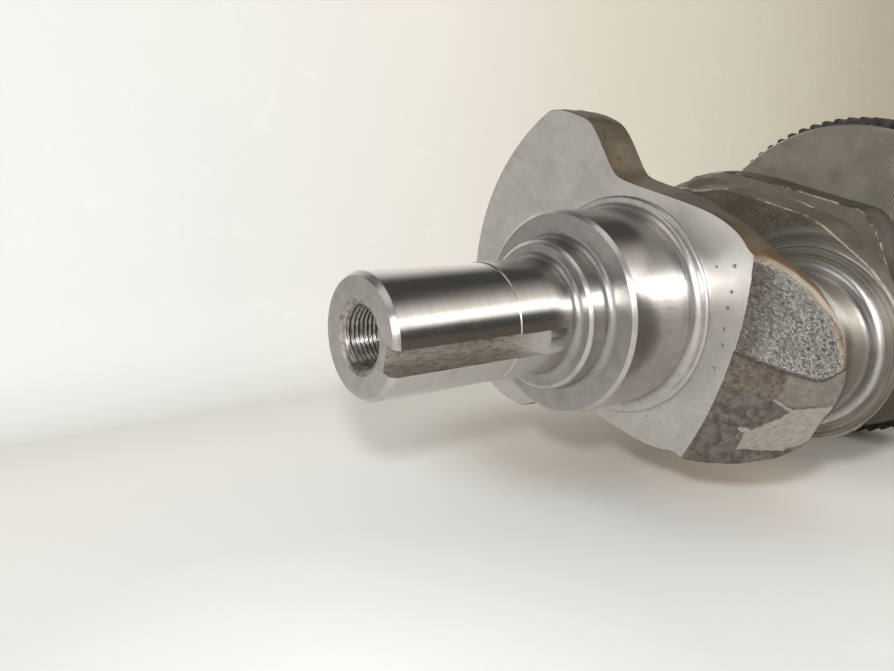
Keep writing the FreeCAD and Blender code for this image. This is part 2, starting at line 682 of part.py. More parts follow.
def make_cage_half(name, front):
    """A pressed cage half: a flat web between the balls and a domed pocket over each."""
    reach = "{cage_pocket_radius} + {cage_wall} + {cage_margin}"
    if front:
        plate_at = BRG_MIDDLE + " - {cage_wall} - {cage_half_gap}"
        band_at = BRG_MIDDLE + " - (%s)" % reach
    else:
        plate_at = band_at = BRG_MIDDLE + " + {cage_half_gap}"
    domes = spheres(name + "_dome", "{cage_pocket_radius} + {cage_wall}")
    pockets = spheres(name + "_pocket", "{cage_pocket_radius}")
    plate = bar(name + "_plate", "{cage_out_radius}", plate_at, "{cage_wall}")
    pressing = fuse(name + "_pressing", [plate] + domes)
    # the band keeps what lies on this half's side, between the cage's two radii
    band = combine(
        "Cut", name + "_band",
        bar(name + "_band_outer", "{cage_out_radius}", band_at, reach + " - {cage_half_gap}"),
        bar(name + "_band_inner", "{cage_in_radius}", BRG_MIDDLE + " - {cage_bore_reach}",
            "2 * {cage_bore_reach}"))
    trimmed = combine("Common", name + "_trimmed", pressing, band)
    holes = [bar("%s_rivet_hole_%d" % (name, k + 1), "{rivet_radius}",
                 BRG_MIDDLE + " - {rivet_hole_reach}", "2 * {rivet_hole_reach}",
                 **rivet_place(k)) for k in range(BALLS)]
    openings = fuse(name + "_openings", pockets + holes)
    half = combine("Cut", name, trimmed, openings)
    doc.recompute()
    return half


def make_rivets():
    """A shank with a flat round head at each end, between each pair of balls."""
    head_front = BRG_MIDDLE + " - {cage_wall} - {cage_half_gap} - {rivet_head_height}"
    head_rear = BRG_MIDDLE + " + {cage_wall} + {cage_half_gap}"
    length = "2 * ({cage_wall} + {cage_half_gap} + {rivet_head_height})"
    rivets = []
    for k in range(BALLS):
        name, place = "rivet_%d" % (k + 1), rivet_place(k)
        rivets.append(fuse(name, [
            bar(name + "_shank", "{rivet_radius}", head_front, length, **place),
            bar(name + "_head_front", "{rivet_head_radius}", head_front,
                "{rivet_head_height}", **place),
            bar(name + "_head_rear", "{rivet_head_radius}", head_rear,
                "{rivet_head_height}", **place)]))
    return compound("pilot_cage_rivets", rivets)


def make_seal(name, x):
    disc = bar(name + "_disc", "{seal_recess_radius}", x, "{seal_thickness}")
    eye = bar(name + "_eye", "{seal_lip_radius}", x + " - {overrun}",
              "{seal_thickness} + 2 * {overrun}")
    return combine("Cut", name, disc, eye)


# ------------------------------------------------------------------ build, turn and export
pieces = [
    make_forging(),
    make_gear_ring(),
    make_timing_pin(),
    make_oil_plug("oil_plug_front", seat_one, angle_one),
    make_oil_plug("oil_plug_rear", seat_two, angle_two),
    make_dowel(),
    make_outer_ring(),
    make_inner_ring(),
    compound("pilot_balls", spheres("ball", "{ball_radius}")),
    make_cage_half("pilot_cage_front", True),
    make_cage_half("pilot_cage_rear", False),
    make_rivets(),
    make_seal("pilot_seal_front", FRONT_SEAL_AT),
    make_seal("pilot_seal_rear", REAR_SEAL_AT),
]
doc.recompute()
for piece in pieces:
    piece.Placement = TURN.multiply(piece.Placement)
doc.recompute()

failed = [o.Name for o in doc.Objects if any(s in ("Invalid", "Error") for s in o.State)]
if failed:
    raise SystemExit("failed features: %s" % failed)
for piece in pieces:
    if piece.Shape.isNull() or not piece.Shape.isValid() or not piece.Shape.Solids:
        raise SystemExit("%s has no valid solid" % piece.Label)
for piece in pieces:
    path = "parts/%s.step" % piece.Label
    piece.Shape.exportStep(path)
    written = Part.Shape()
    written.read(path)
    if not written.isValid():
        raise SystemExit("%s isn't valid once written and read back" % piece.Label)
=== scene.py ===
# A two-throw crankshaft lying along +X, snout at low x and flange at high x, on pale paper.
# It carries a toothed ring, a dowel, a timing pin, two oil plugs and a pilot bearing.
# Pieces are modelled in millimetres in a "local attitude": x along the shaft, z towards
# crankpin one, y across. finish_piece turns them to rest and scales them to metres.
import math
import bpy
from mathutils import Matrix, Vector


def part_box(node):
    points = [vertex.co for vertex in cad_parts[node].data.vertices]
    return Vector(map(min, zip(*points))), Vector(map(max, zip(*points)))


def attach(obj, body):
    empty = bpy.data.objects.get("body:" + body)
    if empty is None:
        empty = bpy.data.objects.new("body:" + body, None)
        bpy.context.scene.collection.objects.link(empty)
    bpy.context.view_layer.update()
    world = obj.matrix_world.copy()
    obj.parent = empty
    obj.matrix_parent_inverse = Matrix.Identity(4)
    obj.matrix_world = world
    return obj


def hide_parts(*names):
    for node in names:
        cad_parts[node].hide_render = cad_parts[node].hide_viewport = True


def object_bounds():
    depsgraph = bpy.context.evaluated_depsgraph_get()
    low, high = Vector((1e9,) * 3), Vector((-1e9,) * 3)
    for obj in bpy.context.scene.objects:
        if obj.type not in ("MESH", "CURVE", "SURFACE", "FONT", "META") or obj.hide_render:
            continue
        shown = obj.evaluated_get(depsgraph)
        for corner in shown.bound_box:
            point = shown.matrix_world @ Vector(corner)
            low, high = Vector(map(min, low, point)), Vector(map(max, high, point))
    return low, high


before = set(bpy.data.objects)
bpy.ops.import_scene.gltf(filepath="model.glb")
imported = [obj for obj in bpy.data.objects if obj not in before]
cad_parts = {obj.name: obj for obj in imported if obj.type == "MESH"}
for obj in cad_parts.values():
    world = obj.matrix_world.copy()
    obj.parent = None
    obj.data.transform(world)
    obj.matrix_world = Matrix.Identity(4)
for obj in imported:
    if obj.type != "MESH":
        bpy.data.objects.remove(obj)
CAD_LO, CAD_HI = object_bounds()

from types import SimpleNamespace

import bmesh
import bpy
import numpy as np
from mathutils import Matrix, Vector, noise

# ---------------------------------------------------------------- driving dimensions, mm
MM = 0.001                                      # metres in a millimetre
X_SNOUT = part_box("crank_forging")[0].x * 1000.0


def behind(distance):
    return X_SNOUT + distance


X_STEP = behind(33.3)          # small step on the snout
X_COLLAR = behind(51.3)
X_MAIN1 = behind(57.6)         # front of the first main journal
X_PAD1 = behind(80.4)          # round pad in front of web one
X_WEB1 = behind(81.6)
X_PIN1 = behind(97.0)
X_WEB2 = behind(117.9)
X_MAIN2 = behind(133.4)
X_WEB3 = behind(158.2)
X_PIN2 = behind(173.7)
X_BOSS = behind(194.3)         # boss between crankpin two and the disc
X_DISC = behind(198.3)
X_RIM = behind(204.3)          # rear of the disc's full-radius rim
X_MAIN3 = behind(216.3)
X_FLANGE = behind(241.3)
X_FLANGE_REAR = behind(257.3)
X_SPIGOT = behind(260.3)       # rear end of the spigot

TURN = math.radians(106.0)     # crankpin one from +Z to its resting direction
ROT = Matrix.Rotation(TURN, 4, "X")
THROW = 34.3
SNOUT_R, COLLAR_R, MAIN_R, PAD_R, PIN_R = 14.0, 18.65, 26.0, 29.5, 20.3
FILLET = 2.2                   # journal fillets
SNOUT_FILLET = 2.0
SEAT_R = 47.0                  # toothed ring's seat, and the timing pin's distance from the axis
BOLT_R = 29.0                  # flange holes and dowel
DOWEL_R, TIMING_R, CLEARANCE = 4.0, 2.0, 0.02

# Conical reliefs at the pin ends of the webs: the axis lies RELIEF_DROP beyond the shaft's.
RELIEF_DROP = 68.3
RELIEF_R0, RELIEF_R1 = 105.0, 126.3
WEB_DEPTH = 15.4


# ---------------------------------------------------------------- node graph helpers
def add_node(kind, **settings):
    node = Field.tree.nodes.new(kind)
    for key, value in settings.items():
        setattr(node, key, value)
    return node


def feed(socket, value):
    """Links a Field, or sets a colour tuple or a number."""
    if isinstance(value, Field):
        Field.tree.links.new(value.socket, socket)
    elif isinstance(value, tuple):
        socket.default_value = (*value, 1.0)
    else:
        socket.default_value = float(value)


class Field:
    """An output socket with arithmetic, so that masks read like formulas."""
    tree = material = shader = None             # what is being built now

    def __init__(self, socket):
        self.socket = socket

    @staticmethod
    def math(operation, *terms, clamp=False):
        node = add_node("ShaderNodeMath", operation=operation, use_clamp=clamp)
        for socket, term in zip(node.inputs, terms):
            feed(socket, term)
        return Field(node.outputs[0])

    __add__ = __radd__ = lambda self, other: Field.math("ADD", self, other)
    __sub__ = lambda self, other: Field.math("SUBTRACT", self, other)
    __rsub__ = lambda self, other: Field.math("SUBTRACT", other, self)
    __mul__ = __rmul__ = lambda self, other: Field.math("MULTIPLY", self, other)
    __truediv__ = lambda self, other: Field.math("DIVIDE", self, other)
    __neg__ = lambda self: self * -1.0
    pow = lambda self, power: Field.math("POWER", self, power)
    abs = lambda self: Field.math("ABSOLUTE", self)
    sin = lambda self: Field.math("SINE", self)
    sqrt = lambda self: Field.math("SQRT", self)
    clamp = lambda self: Field.math("ADD", self, 0.0, clamp=True)
    least = lambda self, floor: Field.math("MAXIMUM", self, floor)
    most = lambda self, ceiling: Field.math("MINIMUM", self, ceiling)

    def step(self, zero_at, one_at):
        """Smooth passage from 0 to 1 between two values, rising or falling."""
        node = add_node("ShaderNodeMapRange", interpolation_type="SMOOTHSTEP")
        if zero_at > one_at:
            limits = (one_at, zero_at, 1.0, 0.0)
        else:
            limits = (zero_at, one_at, 0.0, 1.0)
        for socket, value in zip(node.inputs, (self, *limits)):
            feed(socket, value)
        return Field(node.outputs[0])


def vec(x, y, z):
    node = add_node("ShaderNodeCombineXYZ")
    for socket, value in zip(node.inputs, (x, y, z)):
        feed(socket, value)
    return Field(node.outputs[0])


def split(vector):
    node = add_node("ShaderNodeSeparateXYZ")
    feed(node.inputs[0], vector)
    return [Field(socket) for socket in node.outputs]


def rotate_x(vector, angle):
    node = add_node("ShaderNodeVectorRotate", rotation_type="X_AXIS")
    feed(node.inputs["Angle"], angle)
    feed(node.inputs["Vector"], vector)
    return Field(node.outputs[0])


def scale_vec(vector, factor):
    node = add_node("ShaderNodeVectorMath", operation="SCALE")
    feed(node.inputs[0], vector)
    feed(node.inputs["Scale"], factor)
    return Field(node.outputs[0])


def radius_of(a, b):
    return (a * a + b * b).sqrt()


def angle_of(a, b):
    return Field.math("ARCTAN2", a, b)


def noise_map(vector, scale=1.0, detail=3.0, rough=0.55, seed=None, warp=0.0):
    node = add_node("ShaderNodeTexNoise")
    if seed is not None:
        node.noise_dimensions = "4D"
        feed(node.inputs["W"], seed)
    feed(node.inputs["Vector"], vector)
    for key, value in (("Scale", scale), ("Detail", detail), ("Roughness", rough),
                       ("Distortion", warp)):
        feed(node.inputs[key], value)
    return Field(node.outputs[0])


def cell_distance(vector, scale):
    node = add_node("ShaderNodeTexVoronoi")
    feed(node.inputs["Vector"], vector)
    feed(node.inputs["Scale"], scale)
    return Field(node.outputs[0])


def mix(first, second, amount):
    node = add_node("ShaderNodeMix", data_type="RGBA")
    for index, value in ((0, amount), (6, first), (7, second)):
        feed(node.inputs[index], value)
    return Field(node.outputs[2])


def layered(base, *layers):
    """Lays (colour, mask) pairs one over another on a base colour."""
    for colour, mask in layers:
        base = mix(base, colour, mask)
    return base


def colour_ramp(amount, stops):
    """Stops are (position, colour)."""
    node = add_node("ShaderNodeValToRGB")
    feed(node.inputs[0], amount)
    elements = node.color_ramp.elements
    while len(elements) > 1:
        elements.remove(elements[-1])
    elements[0].position = stops[0][0]
    elements[0].color = (*stops[0][1], 1.0)
    for position, colour in stops[1:]:
        elements.new(position).color = (*colour, 1.0)
    return Field(node.outputs[0])


def shade(colour, *factors):
    """A colour times one factor, or times three."""
    return tuple(c * f for c, f in zip(colour, factors * 3))


def begin_material(name):
    """Starts a material and returns its object coordinates in metres."""
    Field.material = bpy.data.materials.new(name)
    Field.material.use_nodes = True
    Field.tree = Field.material.node_tree
    Field.tree.nodes.clear()
    output = add_node("ShaderNodeOutputMaterial")
    Field.shader = add_node("ShaderNodeBsdfPrincipled")
    Field.tree.links.new(Field.shader.outputs[0], output.inputs[0])
    return Field(add_node("ShaderNodeTexCoord").outputs["Object"])


def begin_crank_material(name):
    """Starts a material and returns x, y, z and the point, local attitude, mm."""
    point = scale_vec(rotate_x(begin_material(name), -TURN), 1000.0)
    return (*split(point), point)


def end_material(colour, roughness, height, depth, metallic=0.0, lay=None, **others):
    """Wires the shader. depth: bump in mm. lay: (y, z, amount) of turned tool marks."""
    bump = add_node("ShaderNodeBump")
    feed(bump.inputs["Distance"], depth * MM)
    feed(bump.inputs["Height"], height)
    values = {"Base Color": colour, "Metallic": metallic, "Roughness": roughness,
              "Normal": Field(bump.outputs[0]), **others}
    if lay:
        # light spreads across the marks, which run round the turned axis
        y, z, amount = lay
        around = rotate_x(vec(0.0, z, -y), TURN)
        unit = add_node("ShaderNodeVectorMath", operation="NORMALIZE")
        feed(unit.inputs[0], around)
        values |= {"Anisotropic": amount, "Anisotropic Rotation": 0.25,
                   "Tangent": Field(unit.outputs[0])}
    for key, value in values.items():
        feed(Field.shader.inputs[key], value)
    return Field.material


# ---------------------------------------------------------------- materials of the forging
def ground_steel(name, centre=0.0):
    """Ground and polished steel: grinding lines run round the journal's own axis."""
    tint = (0.585, 0.568, 0.545)
    x, y, z, point = begin_crank_material(name)
    z = z - centre
    angle = angle_of(y, z)
    radius = radius_of(y, z)
    fine = noise_map(vec(x * 6.0, angle * 1.1, radius * 5.0), detail=4.0, rough=0.65)
    broad = noise_map(vec(x * 1.1, angle * 0.55, radius * 1.1), rough=0.5, seed=3.1)
    cloud = noise_map(point, scale=0.16, detail=4.0, seed=1.7)
    scuffs = noise_map(vec(x * 2.6, angle * 5.0, radius * 2.6),
                       detail=6.0, rough=0.72, seed=8.4).step(0.65, 0.74)
    colour = layered(tint,
                     (shade(tint, 0.84, 0.82, 0.79), broad.step(0.35, 0.75) * 0.5),
                     ((0.40, 0.37, 0.335), cloud.step(0.55, 0.82) * 0.40),
                     ((0.26, 0.235, 0.21), scuffs * 0.40))
    return end_material(
        colour=colour, metallic=1.0,
        roughness=(fine - 0.5) * 0.12 + cloud.step(0.5, 0.8) * 0.06 + scuffs * 0.15 + 0.175,
        height=fine * 0.7 + broad * 0.3, depth=0.0022, lay=(y, z, 0.45))


def milled_face():
    """Milled web face: satin grey with faint turning arcs, stains and small pits."""
    x, y, z, point = begin_crank_material("milled_web_face")
    radius = radius_of(y, z)
    lines = noise_map(vec(radius * 6.0, angle_of(y, z) * 1.2, 0.0), detail=4.0, rough=0.6)
    blot = noise_map(point, scale=0.10, detail=6.0, rough=0.62, warp=0.6)
    spots = noise_map(point, scale=0.50, detail=6.0, rough=0.72, seed=5.0)
    mottle = noise_map(point, scale=1.6, detail=4.0, rough=0.65, seed=2.0)
    streak = noise_map(vec(x, y * 0.9 + z * 0.35, z * 0.10), detail=5.0, rough=0.6, seed=6.5)
    pits = (cell_distance(point, scale=0.16).step(0.030, 0.012)
            * noise_map(point, scale=0.3, detail=1.0, seed=9.0).step(0.45, 0.5))
    pin_side = y.step(4.0, -16.0) * z.step(2.0, 20.0)
    heel_side = z.step(8.0, -16.0)
    colour = layered(
        (0.50, 0.485, 0.463),
        ((0.575, 0.562, 0.545), blot.step(0.35, 0.65)),
        ((0.33, 0.305, 0.28),                                            # spots
         spots.step(0.56, 0.72) * (pin_side * 0.55 + heel_side * 0.28 + 0.12)),
        ((0.33, 0.305, 0.275), mottle.step(0.50, 0.70) * (pin_side * 0.60 + 0.10)),
        ((0.38, 0.355, 0.325), streak.step(0.52, 0.68) * heel_side * 0.45),
        ((0.09, 0.08, 0.07), pits))
    return end_material(
        colour=colour, metallic=0.90,
        roughness=(lines - 0.5) * 0.16 + blot * 0.10 + spots.step(0.5, 0.8) * 0.12 + 0.30,
        height=lines * 0.45 + mottle * 0.35 - pits * 2.5, depth=0.014, lay=(y, z, 0.35))


def rim_stains_wear_and_highlight(x, y, z, big, mid, grain):
    """Stains towards the pin end of web one, and a bright rubbed ridge with a painted highlight
    where its relief begins.
    """
    cone = (x - X_WEB1) * ((RELIEF_R1 - RELIEF_R0) / WEB_DEPTH) + RELIEF_R0
    deep = (cone - (y * y + (z + RELIEF_DROP) * (z + RELIEF_DROP)).sqrt()
            + (mid - 0.5) * 0.8)
    brown = z.step(-6.0, 14.0) * 0.30
    olive = y.step(4.0, 20.0) * z.step(-4.0, 10.0) * z.step(37.0, 31.0) * 0.70
    russet = z.step(24.0, 31.0) * mid.step(0.36, 0.56) * 0.65
    rust = deep.step(9.0, 5.5) * z.step(31.0, 36.0) * 0.70
    # the cream ridge where the relief begins: rubbed metal, partly a painted highlight
    worn_and_highlit = deep.step(5.6, 3.2) * z.step(33.5, 36.5)
    return worn_and_highlit, [((0.15, 0.088, 0.048), brown), ((0.105, 0.075, 0.046), olive),
                  ((0.170, 0.100, 0.052), russet), ((0.30, 0.155, 0.070), rust),
                  ((0.66, 0.60, 0.49), worn_and_highlit * grain.step(0.26, 0.46) * 0.90)]


def front_edge_wear_and_highlight(x_front):
    def wear_and_highlight(x, y, z, big, mid, grain):
        # painted highlight along the web's front edge, broken up in patches like wear
        worn_and_highlit = (x - x_front).step(0.75, 0.30) * (big * 0.6 + mid * 0.4).step(0.47, 0.58)
        return worn_and_highlit, [((0.47, 0.44, 0.37), worn_and_highlit * 0.80)]
    return wear_and_highlight


def forged_skin(name, base, light, metallic, dark=(0.050, 0.041, 0.031), rust=0.42, wear_and_highlight=None):
    """As-forged, shot-blasted and oiled skin: mottled, slightly glossy."""
    x, y, z, point = begin_crank_material(name)
    big = noise_map(point, scale=0.07, detail=5.0, rough=0.6)
    mid = noise_map(point, scale=0.5, detail=5.0, rough=0.65, seed=1.0)
    grain = noise_map(point, scale=3.2, rough=0.6, seed=2.0)
    streak = noise_map(vec(x * 0.9, y * 0.10, z * 0.10), detail=4.0, rough=0.6, seed=4.0)
    rusty = noise_map(point, scale=0.22, detail=4.0, rough=0.6, seed=6.0)
    colour = layered(
        base,
        (light, big.step(0.38, 0.66)),
        (dark, mid.step(0.50, 0.72) * 0.75),
        (shade(light, 1.45, 1.4, 1.3), grain.step(0.60, 0.78) * 0.5),
        ((0.20, 0.095, 0.045), rusty.step(0.58, 0.72) * rust),
        (dark, streak.step(0.52, 0.72) * 0.4))
    if wear_and_highlight:
        worn_and_highlit, layers = wear_and_highlight(x, y, z, big, mid, grain)
        colour = layered(colour, *layers)
        metallic = (worn_and_highlit * 0.05 + metallic).clamp()
    return end_material(colour=colour, metallic=metallic,
                        roughness=mid * 0.22 + grain * 0.12 + 0.30,
                        height=grain * 0.35 + mid * 0.9 + streak * 0.4, depth=0.10)


def relief_one():
    """Pin-end relief of web one: coarse bright grain on the +y side; rust, scale and
    ground patches on the -y side."""
    x, y, z, point = begin_crank_material("relief_one")

    def at_point(scale, detail, rough, seed=None):
        return noise_map(point, scale=scale, detail=detail, rough=rough, seed=seed)

    # ragged coordinates: back runs 0 to 15 from front edge to nose, side runs along y
    ragged_back = at_point(0.45, 4.0, 0.6) - 0.5
    ragged_side = at_point(0.45, 4.0, 0.6, seed=3.3) - 0.5
    ragged_fine = at_point(1.9, 4.0, 0.65, seed=7.0) - 0.5
    back = x - X_WEB1 + ragged_back * 1.1 + ragged_fine * 0.5
    side = y + ragged_side * 1.3 + ragged_fine * 0.9

    # zones
    far = (back - 11.0).least(0.0)
    edge = 3.3 - back.most(7.5) * 0.21 + far * far * 0.42
    upper = (side - edge).step(-0.25, 0.25)
    # painted shade: a dark band along the foot of the raised grain's step
    shade_under_step = ((side - edge).step(-1.3, -0.7) * (1.0 - upper)
                * ragged_fine.step(-0.16, 0.0))
    rust = side.step(-6.3, -5.7) * (1.0 - upper) * back.step(8.0, 7.4)
    low = (back - 9.9).abs() * 0.55 - 6.9
    smooth = (side - low).step(0.0, 0.5) * (1.0 - upper) * back.step(7.4, 8.0)

    # ground patch: inside five straight sides, with a tail and a small round blob
    side_a = ((back - 6.6) * 0.906 - (side + 15.5) * 0.423).most(
        (back - 5.9) * 0.97 + (side + 20.5) * 0.05)
    side_b = (back - 10.0) * 0.66 - (side + 7.8) * 0.751
    side_c = (side + 21.8) * 0.877 - (back - 6.3) * 0.48
    side_d = (side + 18.9) * 0.468 - (back - 11.6) * 0.883
    patch = side_a.most(side_b).most(side_c).most(side_d).step(-0.15, 0.2)
    tail = (((back - 8.7) * 0.53 + (side + 7.0) * 0.85).abs().step(0.45, 0.2)
            * (back - 8.9).abs().step(1.6, 1.3))
    blob = (((back - 5.6) / 0.9).pow(2.0) + ((side + 16.2) / 0.8).pow(2.0)).step(1.2, 0.8)
    patch = patch.least(tail).least(blob)

    # coarse grain, with a rubbed lip at the nose whose cream is partly a painted highlight
    coarse = at_point(1.35, 5.0, 0.78, seed=11.0)
    fine = at_point(3.0, 4.0, 0.75, seed=12.0)
    cells = cell_distance(point, scale=1.5)
    small_cells = cell_distance(point, scale=3.1)
    diagonal = noise_map(
        vec(back * 2.5 + side * 1.5, side * 0.80 - back * 0.70, z * 0.5),
        detail=4.0, rough=0.70, warp=0.5, seed=23.0)
    lip = ((y * y + (z - 31.9) * (z - 31.9)).sqrt() * -1.0 + 25.9
           - (back.least(0.0) / 15.0).pow(1.7) * 1.0
           + ragged_back * 0.5 + ragged_fine * 0.4)
    grain = layered(
        (0.125, 0.108, 0.098),
        ((0.74, 0.725, 0.70), (coarse * 0.22 + fine * 0.28 + diagonal * 0.50).step(0.41, 0.59)),
        ((0.085, 0.072, 0.064), at_point(0.16, 5.0, 0.65, seed=14.0).step(0.50, 0.70) * 0.45),
        ((0.095, 0.070, 0.054), back.step(5.0, 0.5) * 0.60),              # darker front
        # painted highlight along the border of the raised grain at its step
        ((0.78, 0.77, 0.76), (side - edge).step(2.4, 0.2) * back.step(1.5, 4.0)
         * (coarse * 0.5 + fine * 0.5).step(0.46, 0.58) * 0.85),         # bright border
        # cream lip at the nose: rubbed metal and painted highlight
        ((0.66, 0.60, 0.49), lip.step(1.35, 0.75) * coarse.step(0.36, 0.50) * 0.90),
        ((0.34, 0.185, 0.090), lip.step(0.45, 0.10) * fine.step(0.40, 0.55) * 0.7))

    flakes = at_point(0.55, 6.0, 0.72, seed=15.0)
    scale = layered(
        (0.062, 0.054, 0.045),
        ((0.150, 0.135, 0.115), flakes.step(0.38, 0.62)),
        ((0.27, 0.245, 0.225), at_point(2.2, 4.0, 0.68, seed=16.0).step(0.56, 0.72) * 0.75),
        ((0.100, 0.074, 0.054), at_point(0.30, 4.0, 0.6, seed=17.0).step(0.52, 0.66) * 0.4),
        ((0.22, 0.205, 0.185),                                           # slanting line
         ((back - 4.4) - (side + 20.0) * 0.33).abs().step(0.22, 0.08)
         * side.step(-25.0, -22.0) * side.step(-14.0, -16.0) * 0.35))
    rust_colour = layered(
        (0.058, 0.042, 0.030),
        ((0.190, 0.155, 0.118), (coarse * 0.6 + flakes * 0.4).step(0.38, 0.60)),
        ((0.30, 0.26, 0.21), small_cells.step(0.30, 0.12) * 0.5))
    smooth_colour = mix((0.190, 0.175, 0.150), (0.250, 0.235, 0.205),
                        at_point(0.7, 5.0, 0.65, seed=18.0).step(0.4, 0.62))
    brushed = noise_map(vec(back * 2.2 - side * 0.8, side * 0.5 + back * 0.2, 0.0),
                        detail=5.0, rough=0.65)
    patch_colour = layered(
        (0.315, 0.298, 0.258),
        ((0.440, 0.420, 0.372), brushed.step(0.34, 0.64)),
        ((0.15, 0.138, 0.118), at_point(0.9, 5.0, 0.7, seed=19.0).step(0.60, 0.74) * 0.6))
    colour = layered(scale, (rust_colour, rust), (smooth_colour, smooth),
                     ((0.055, 0.045, 0.036), shade_under_step * 0.75),
                     (grain, upper), (patch_colour, patch))
    height = ((cells * -0.9 + small_cells * -0.35 + coarse * 1.1 + fine * 0.5
               + diagonal * 1.5) * (upper * 1.0 + rust * 0.45 + 0.04)
              + flakes * 0.35 + brushed * patch * 0.25)
    return end_material(
        colour=colour,
        metallic=(upper * 0.68 + smooth * 0.25 + patch * 0.45 + 0.30).clamp(),
        roughness=0.44 - upper * 0.17 + rust * 0.20 - patch * 0.04 + (fine - 0.5) * 0.2,
        height=height, depth=0.30)


def disc_face():
    """Front face of the round web: olive grey with fine arcs left by a milling cutter."""
    pitch = 0.86                                # mm between arcs
    x, y, z, point = begin_crank_material("round_web_face")
    arc_y, arc_z = y + 0.7, z + 26.0            # from the centre of the arcs
    arcs = (radius_of(arc_y, arc_z) + noise_map(point, scale=0.12, detail=2.0, rough=0.5) * 1.2
            + noise_map(point, scale=0.9, rough=0.6, seed=7.0) * 0.30)
    wave = (arcs * (2.0 * math.pi / pitch)).sin()
    # where the arcs show
    zone = (noise_map(point, scale=0.05, rough=0.5, seed=3.0).step(0.30, 0.50)
            * (z * 0.55 - y * 0.85).step(-42.0, -20.0) * 0.95 + 0.05)
    zone = zone * noise_map(point, scale=0.35, rough=0.6, seed=8.0).step(0.30, 0.50)
    blot = noise_map(point, scale=0.09, detail=6.0, rough=0.62, seed=1.0)
    grain = noise_map(point, scale=1.5, detail=5.0, rough=0.7, seed=2.0)
    pits = (cell_distance(point, scale=0.20).step(0.05, 0.02)
            * noise_map(point, scale=0.2, detail=1.0, seed=5.0).step(0.5, 0.55))
    colour = layered((0.158, 0.144, 0.108),
                     ((0.218, 0.202, 0.156), blot.step(0.34, 0.66)),
                     ((0.095, 0.084, 0.062), grain.step(0.52, 0.70) * 0.55),
                     ((0.34, 0.32, 0.26), wave.step(0.2, 0.95) * zone * 0.55),
                     ((0.035, 0.03, 0.024), pits))
    return end_material(colour=colour, metallic=0.50,
                        roughness=grain * 0.18 + blot * 0.1 + 0.38,
                        height=wave * zone * 0.8 + grain * 0.7 - pits * 3.0, depth=0.045)


def web_cheek():
    """Flat faces of webs two and three: olive speckled skin, turned in rings round pin one."""
    x, y, z, point = begin_crank_material("web_cheek")
    radius = (y * y + (z - THROW) * (z - THROW)).sqrt()
    near_pin = radius.step(33.0, 28.0) * x.step(behind(140.0), behind(130.0))
    turned = noise_map(vec(radius * 1.8, angle_of(y, z - THROW) * 0.8, 0.0),
                       detail=4.0, rough=0.6)
    speckle = noise_map(point, scale=2.0, detail=4.0, rough=0.7, seed=1.0)
    blot = noise_map(point, scale=0.13, detail=5.0, rough=0.6, seed=2.0)
    third_web = x.step(behind(150.0), behind(156.0))
    bright = mix((0.17, 0.157, 0.128), (0.36, 0.34, 0.295), turned.step(0.38, 0.66))
    colour = layered((0.088, 0.077, 0.055),
                     ((0.150, 0.133, 0.098), blot.step(0.36, 0.64)),
                     ((0.36, 0.34, 0.285), speckle.step(0.55, 0.68) * 0.65),
                     ((0.040, 0.034, 0.026), speckle.step(0.46, 0.34) * 0.6),
                     ((0.215, 0.195, 0.150), third_web * 0.45),
                     (bright, near_pin * 0.8))
    return end_material(
        colour=colour, metallic=near_pin * 0.30 + 0.42,
        roughness=speckle * 0.2 - near_pin * 0.08 + 0.38,
        height=speckle * 0.9 * (1.0 - near_pin * 0.7) + turned * near_pin * 0.8, depth=0.055)


def keyway_steel():
    x, y, z, point = begin_crank_material("keyway_cut")
    run = noise_map(vec(x * 0.35, y * 2.2, z * 2.2), detail=5.0, rough=0.65)
    fine = noise_map(vec(x * 1.2, y * 9.0, z * 9.0), rough=0.6, seed=2.0)
    blot = noise_map(point, scale=0.55, detail=5.0, rough=0.7, seed=3.0)
    run_out = x.step(behind(31.0), behind(41.0))        # rear end of the cut
    colour = layered((0.47, 0.445, 0.405),
                     ((0.29, 0.262, 0.222), run.step(0.38, 0.62)),
                     ((0.085, 0.066, 0.048), blot.step(0.56, 0.70) * 0.85),
                     ((0.55, 0.52, 0.47), fine.step(0.62, 0.78) * 0.5),
                     ((0.55, 0.535, 0.51), run_out * 0.75))
    return end_material(colour=colour, metallic=0.85,
                        roughness=fine * 0.2 + blot * 0.1 + 0.26,
                        height=run + fine * 0.5 + blot * 0.4, depth=0.03)


def thread_steel():
    x, y, z, point = begin_crank_material("cut_thread")
    blot = noise_map(point, scale=0.8, detail=5.0, rough=0.7)
    fine = noise_map(vec(x * 12.0, y * 0.8, z * 0.8), rough=0.6, seed=2.0)
    colour = layered((0.44, 0.425, 0.40),
                     ((0.16, 0.14, 0.12), blot.step(0.42, 0.66) * 0.8),
                     ((0.60, 0.59, 0.57), fine.step(0.62, 0.8) * 0.5))
    return end_material(colour=colour, metallic=1.0,
                        roughness=fine * 0.15 + blot * 0.15 + 0.20,
                        height=fine * 0.6 + blot, depth=0.02)


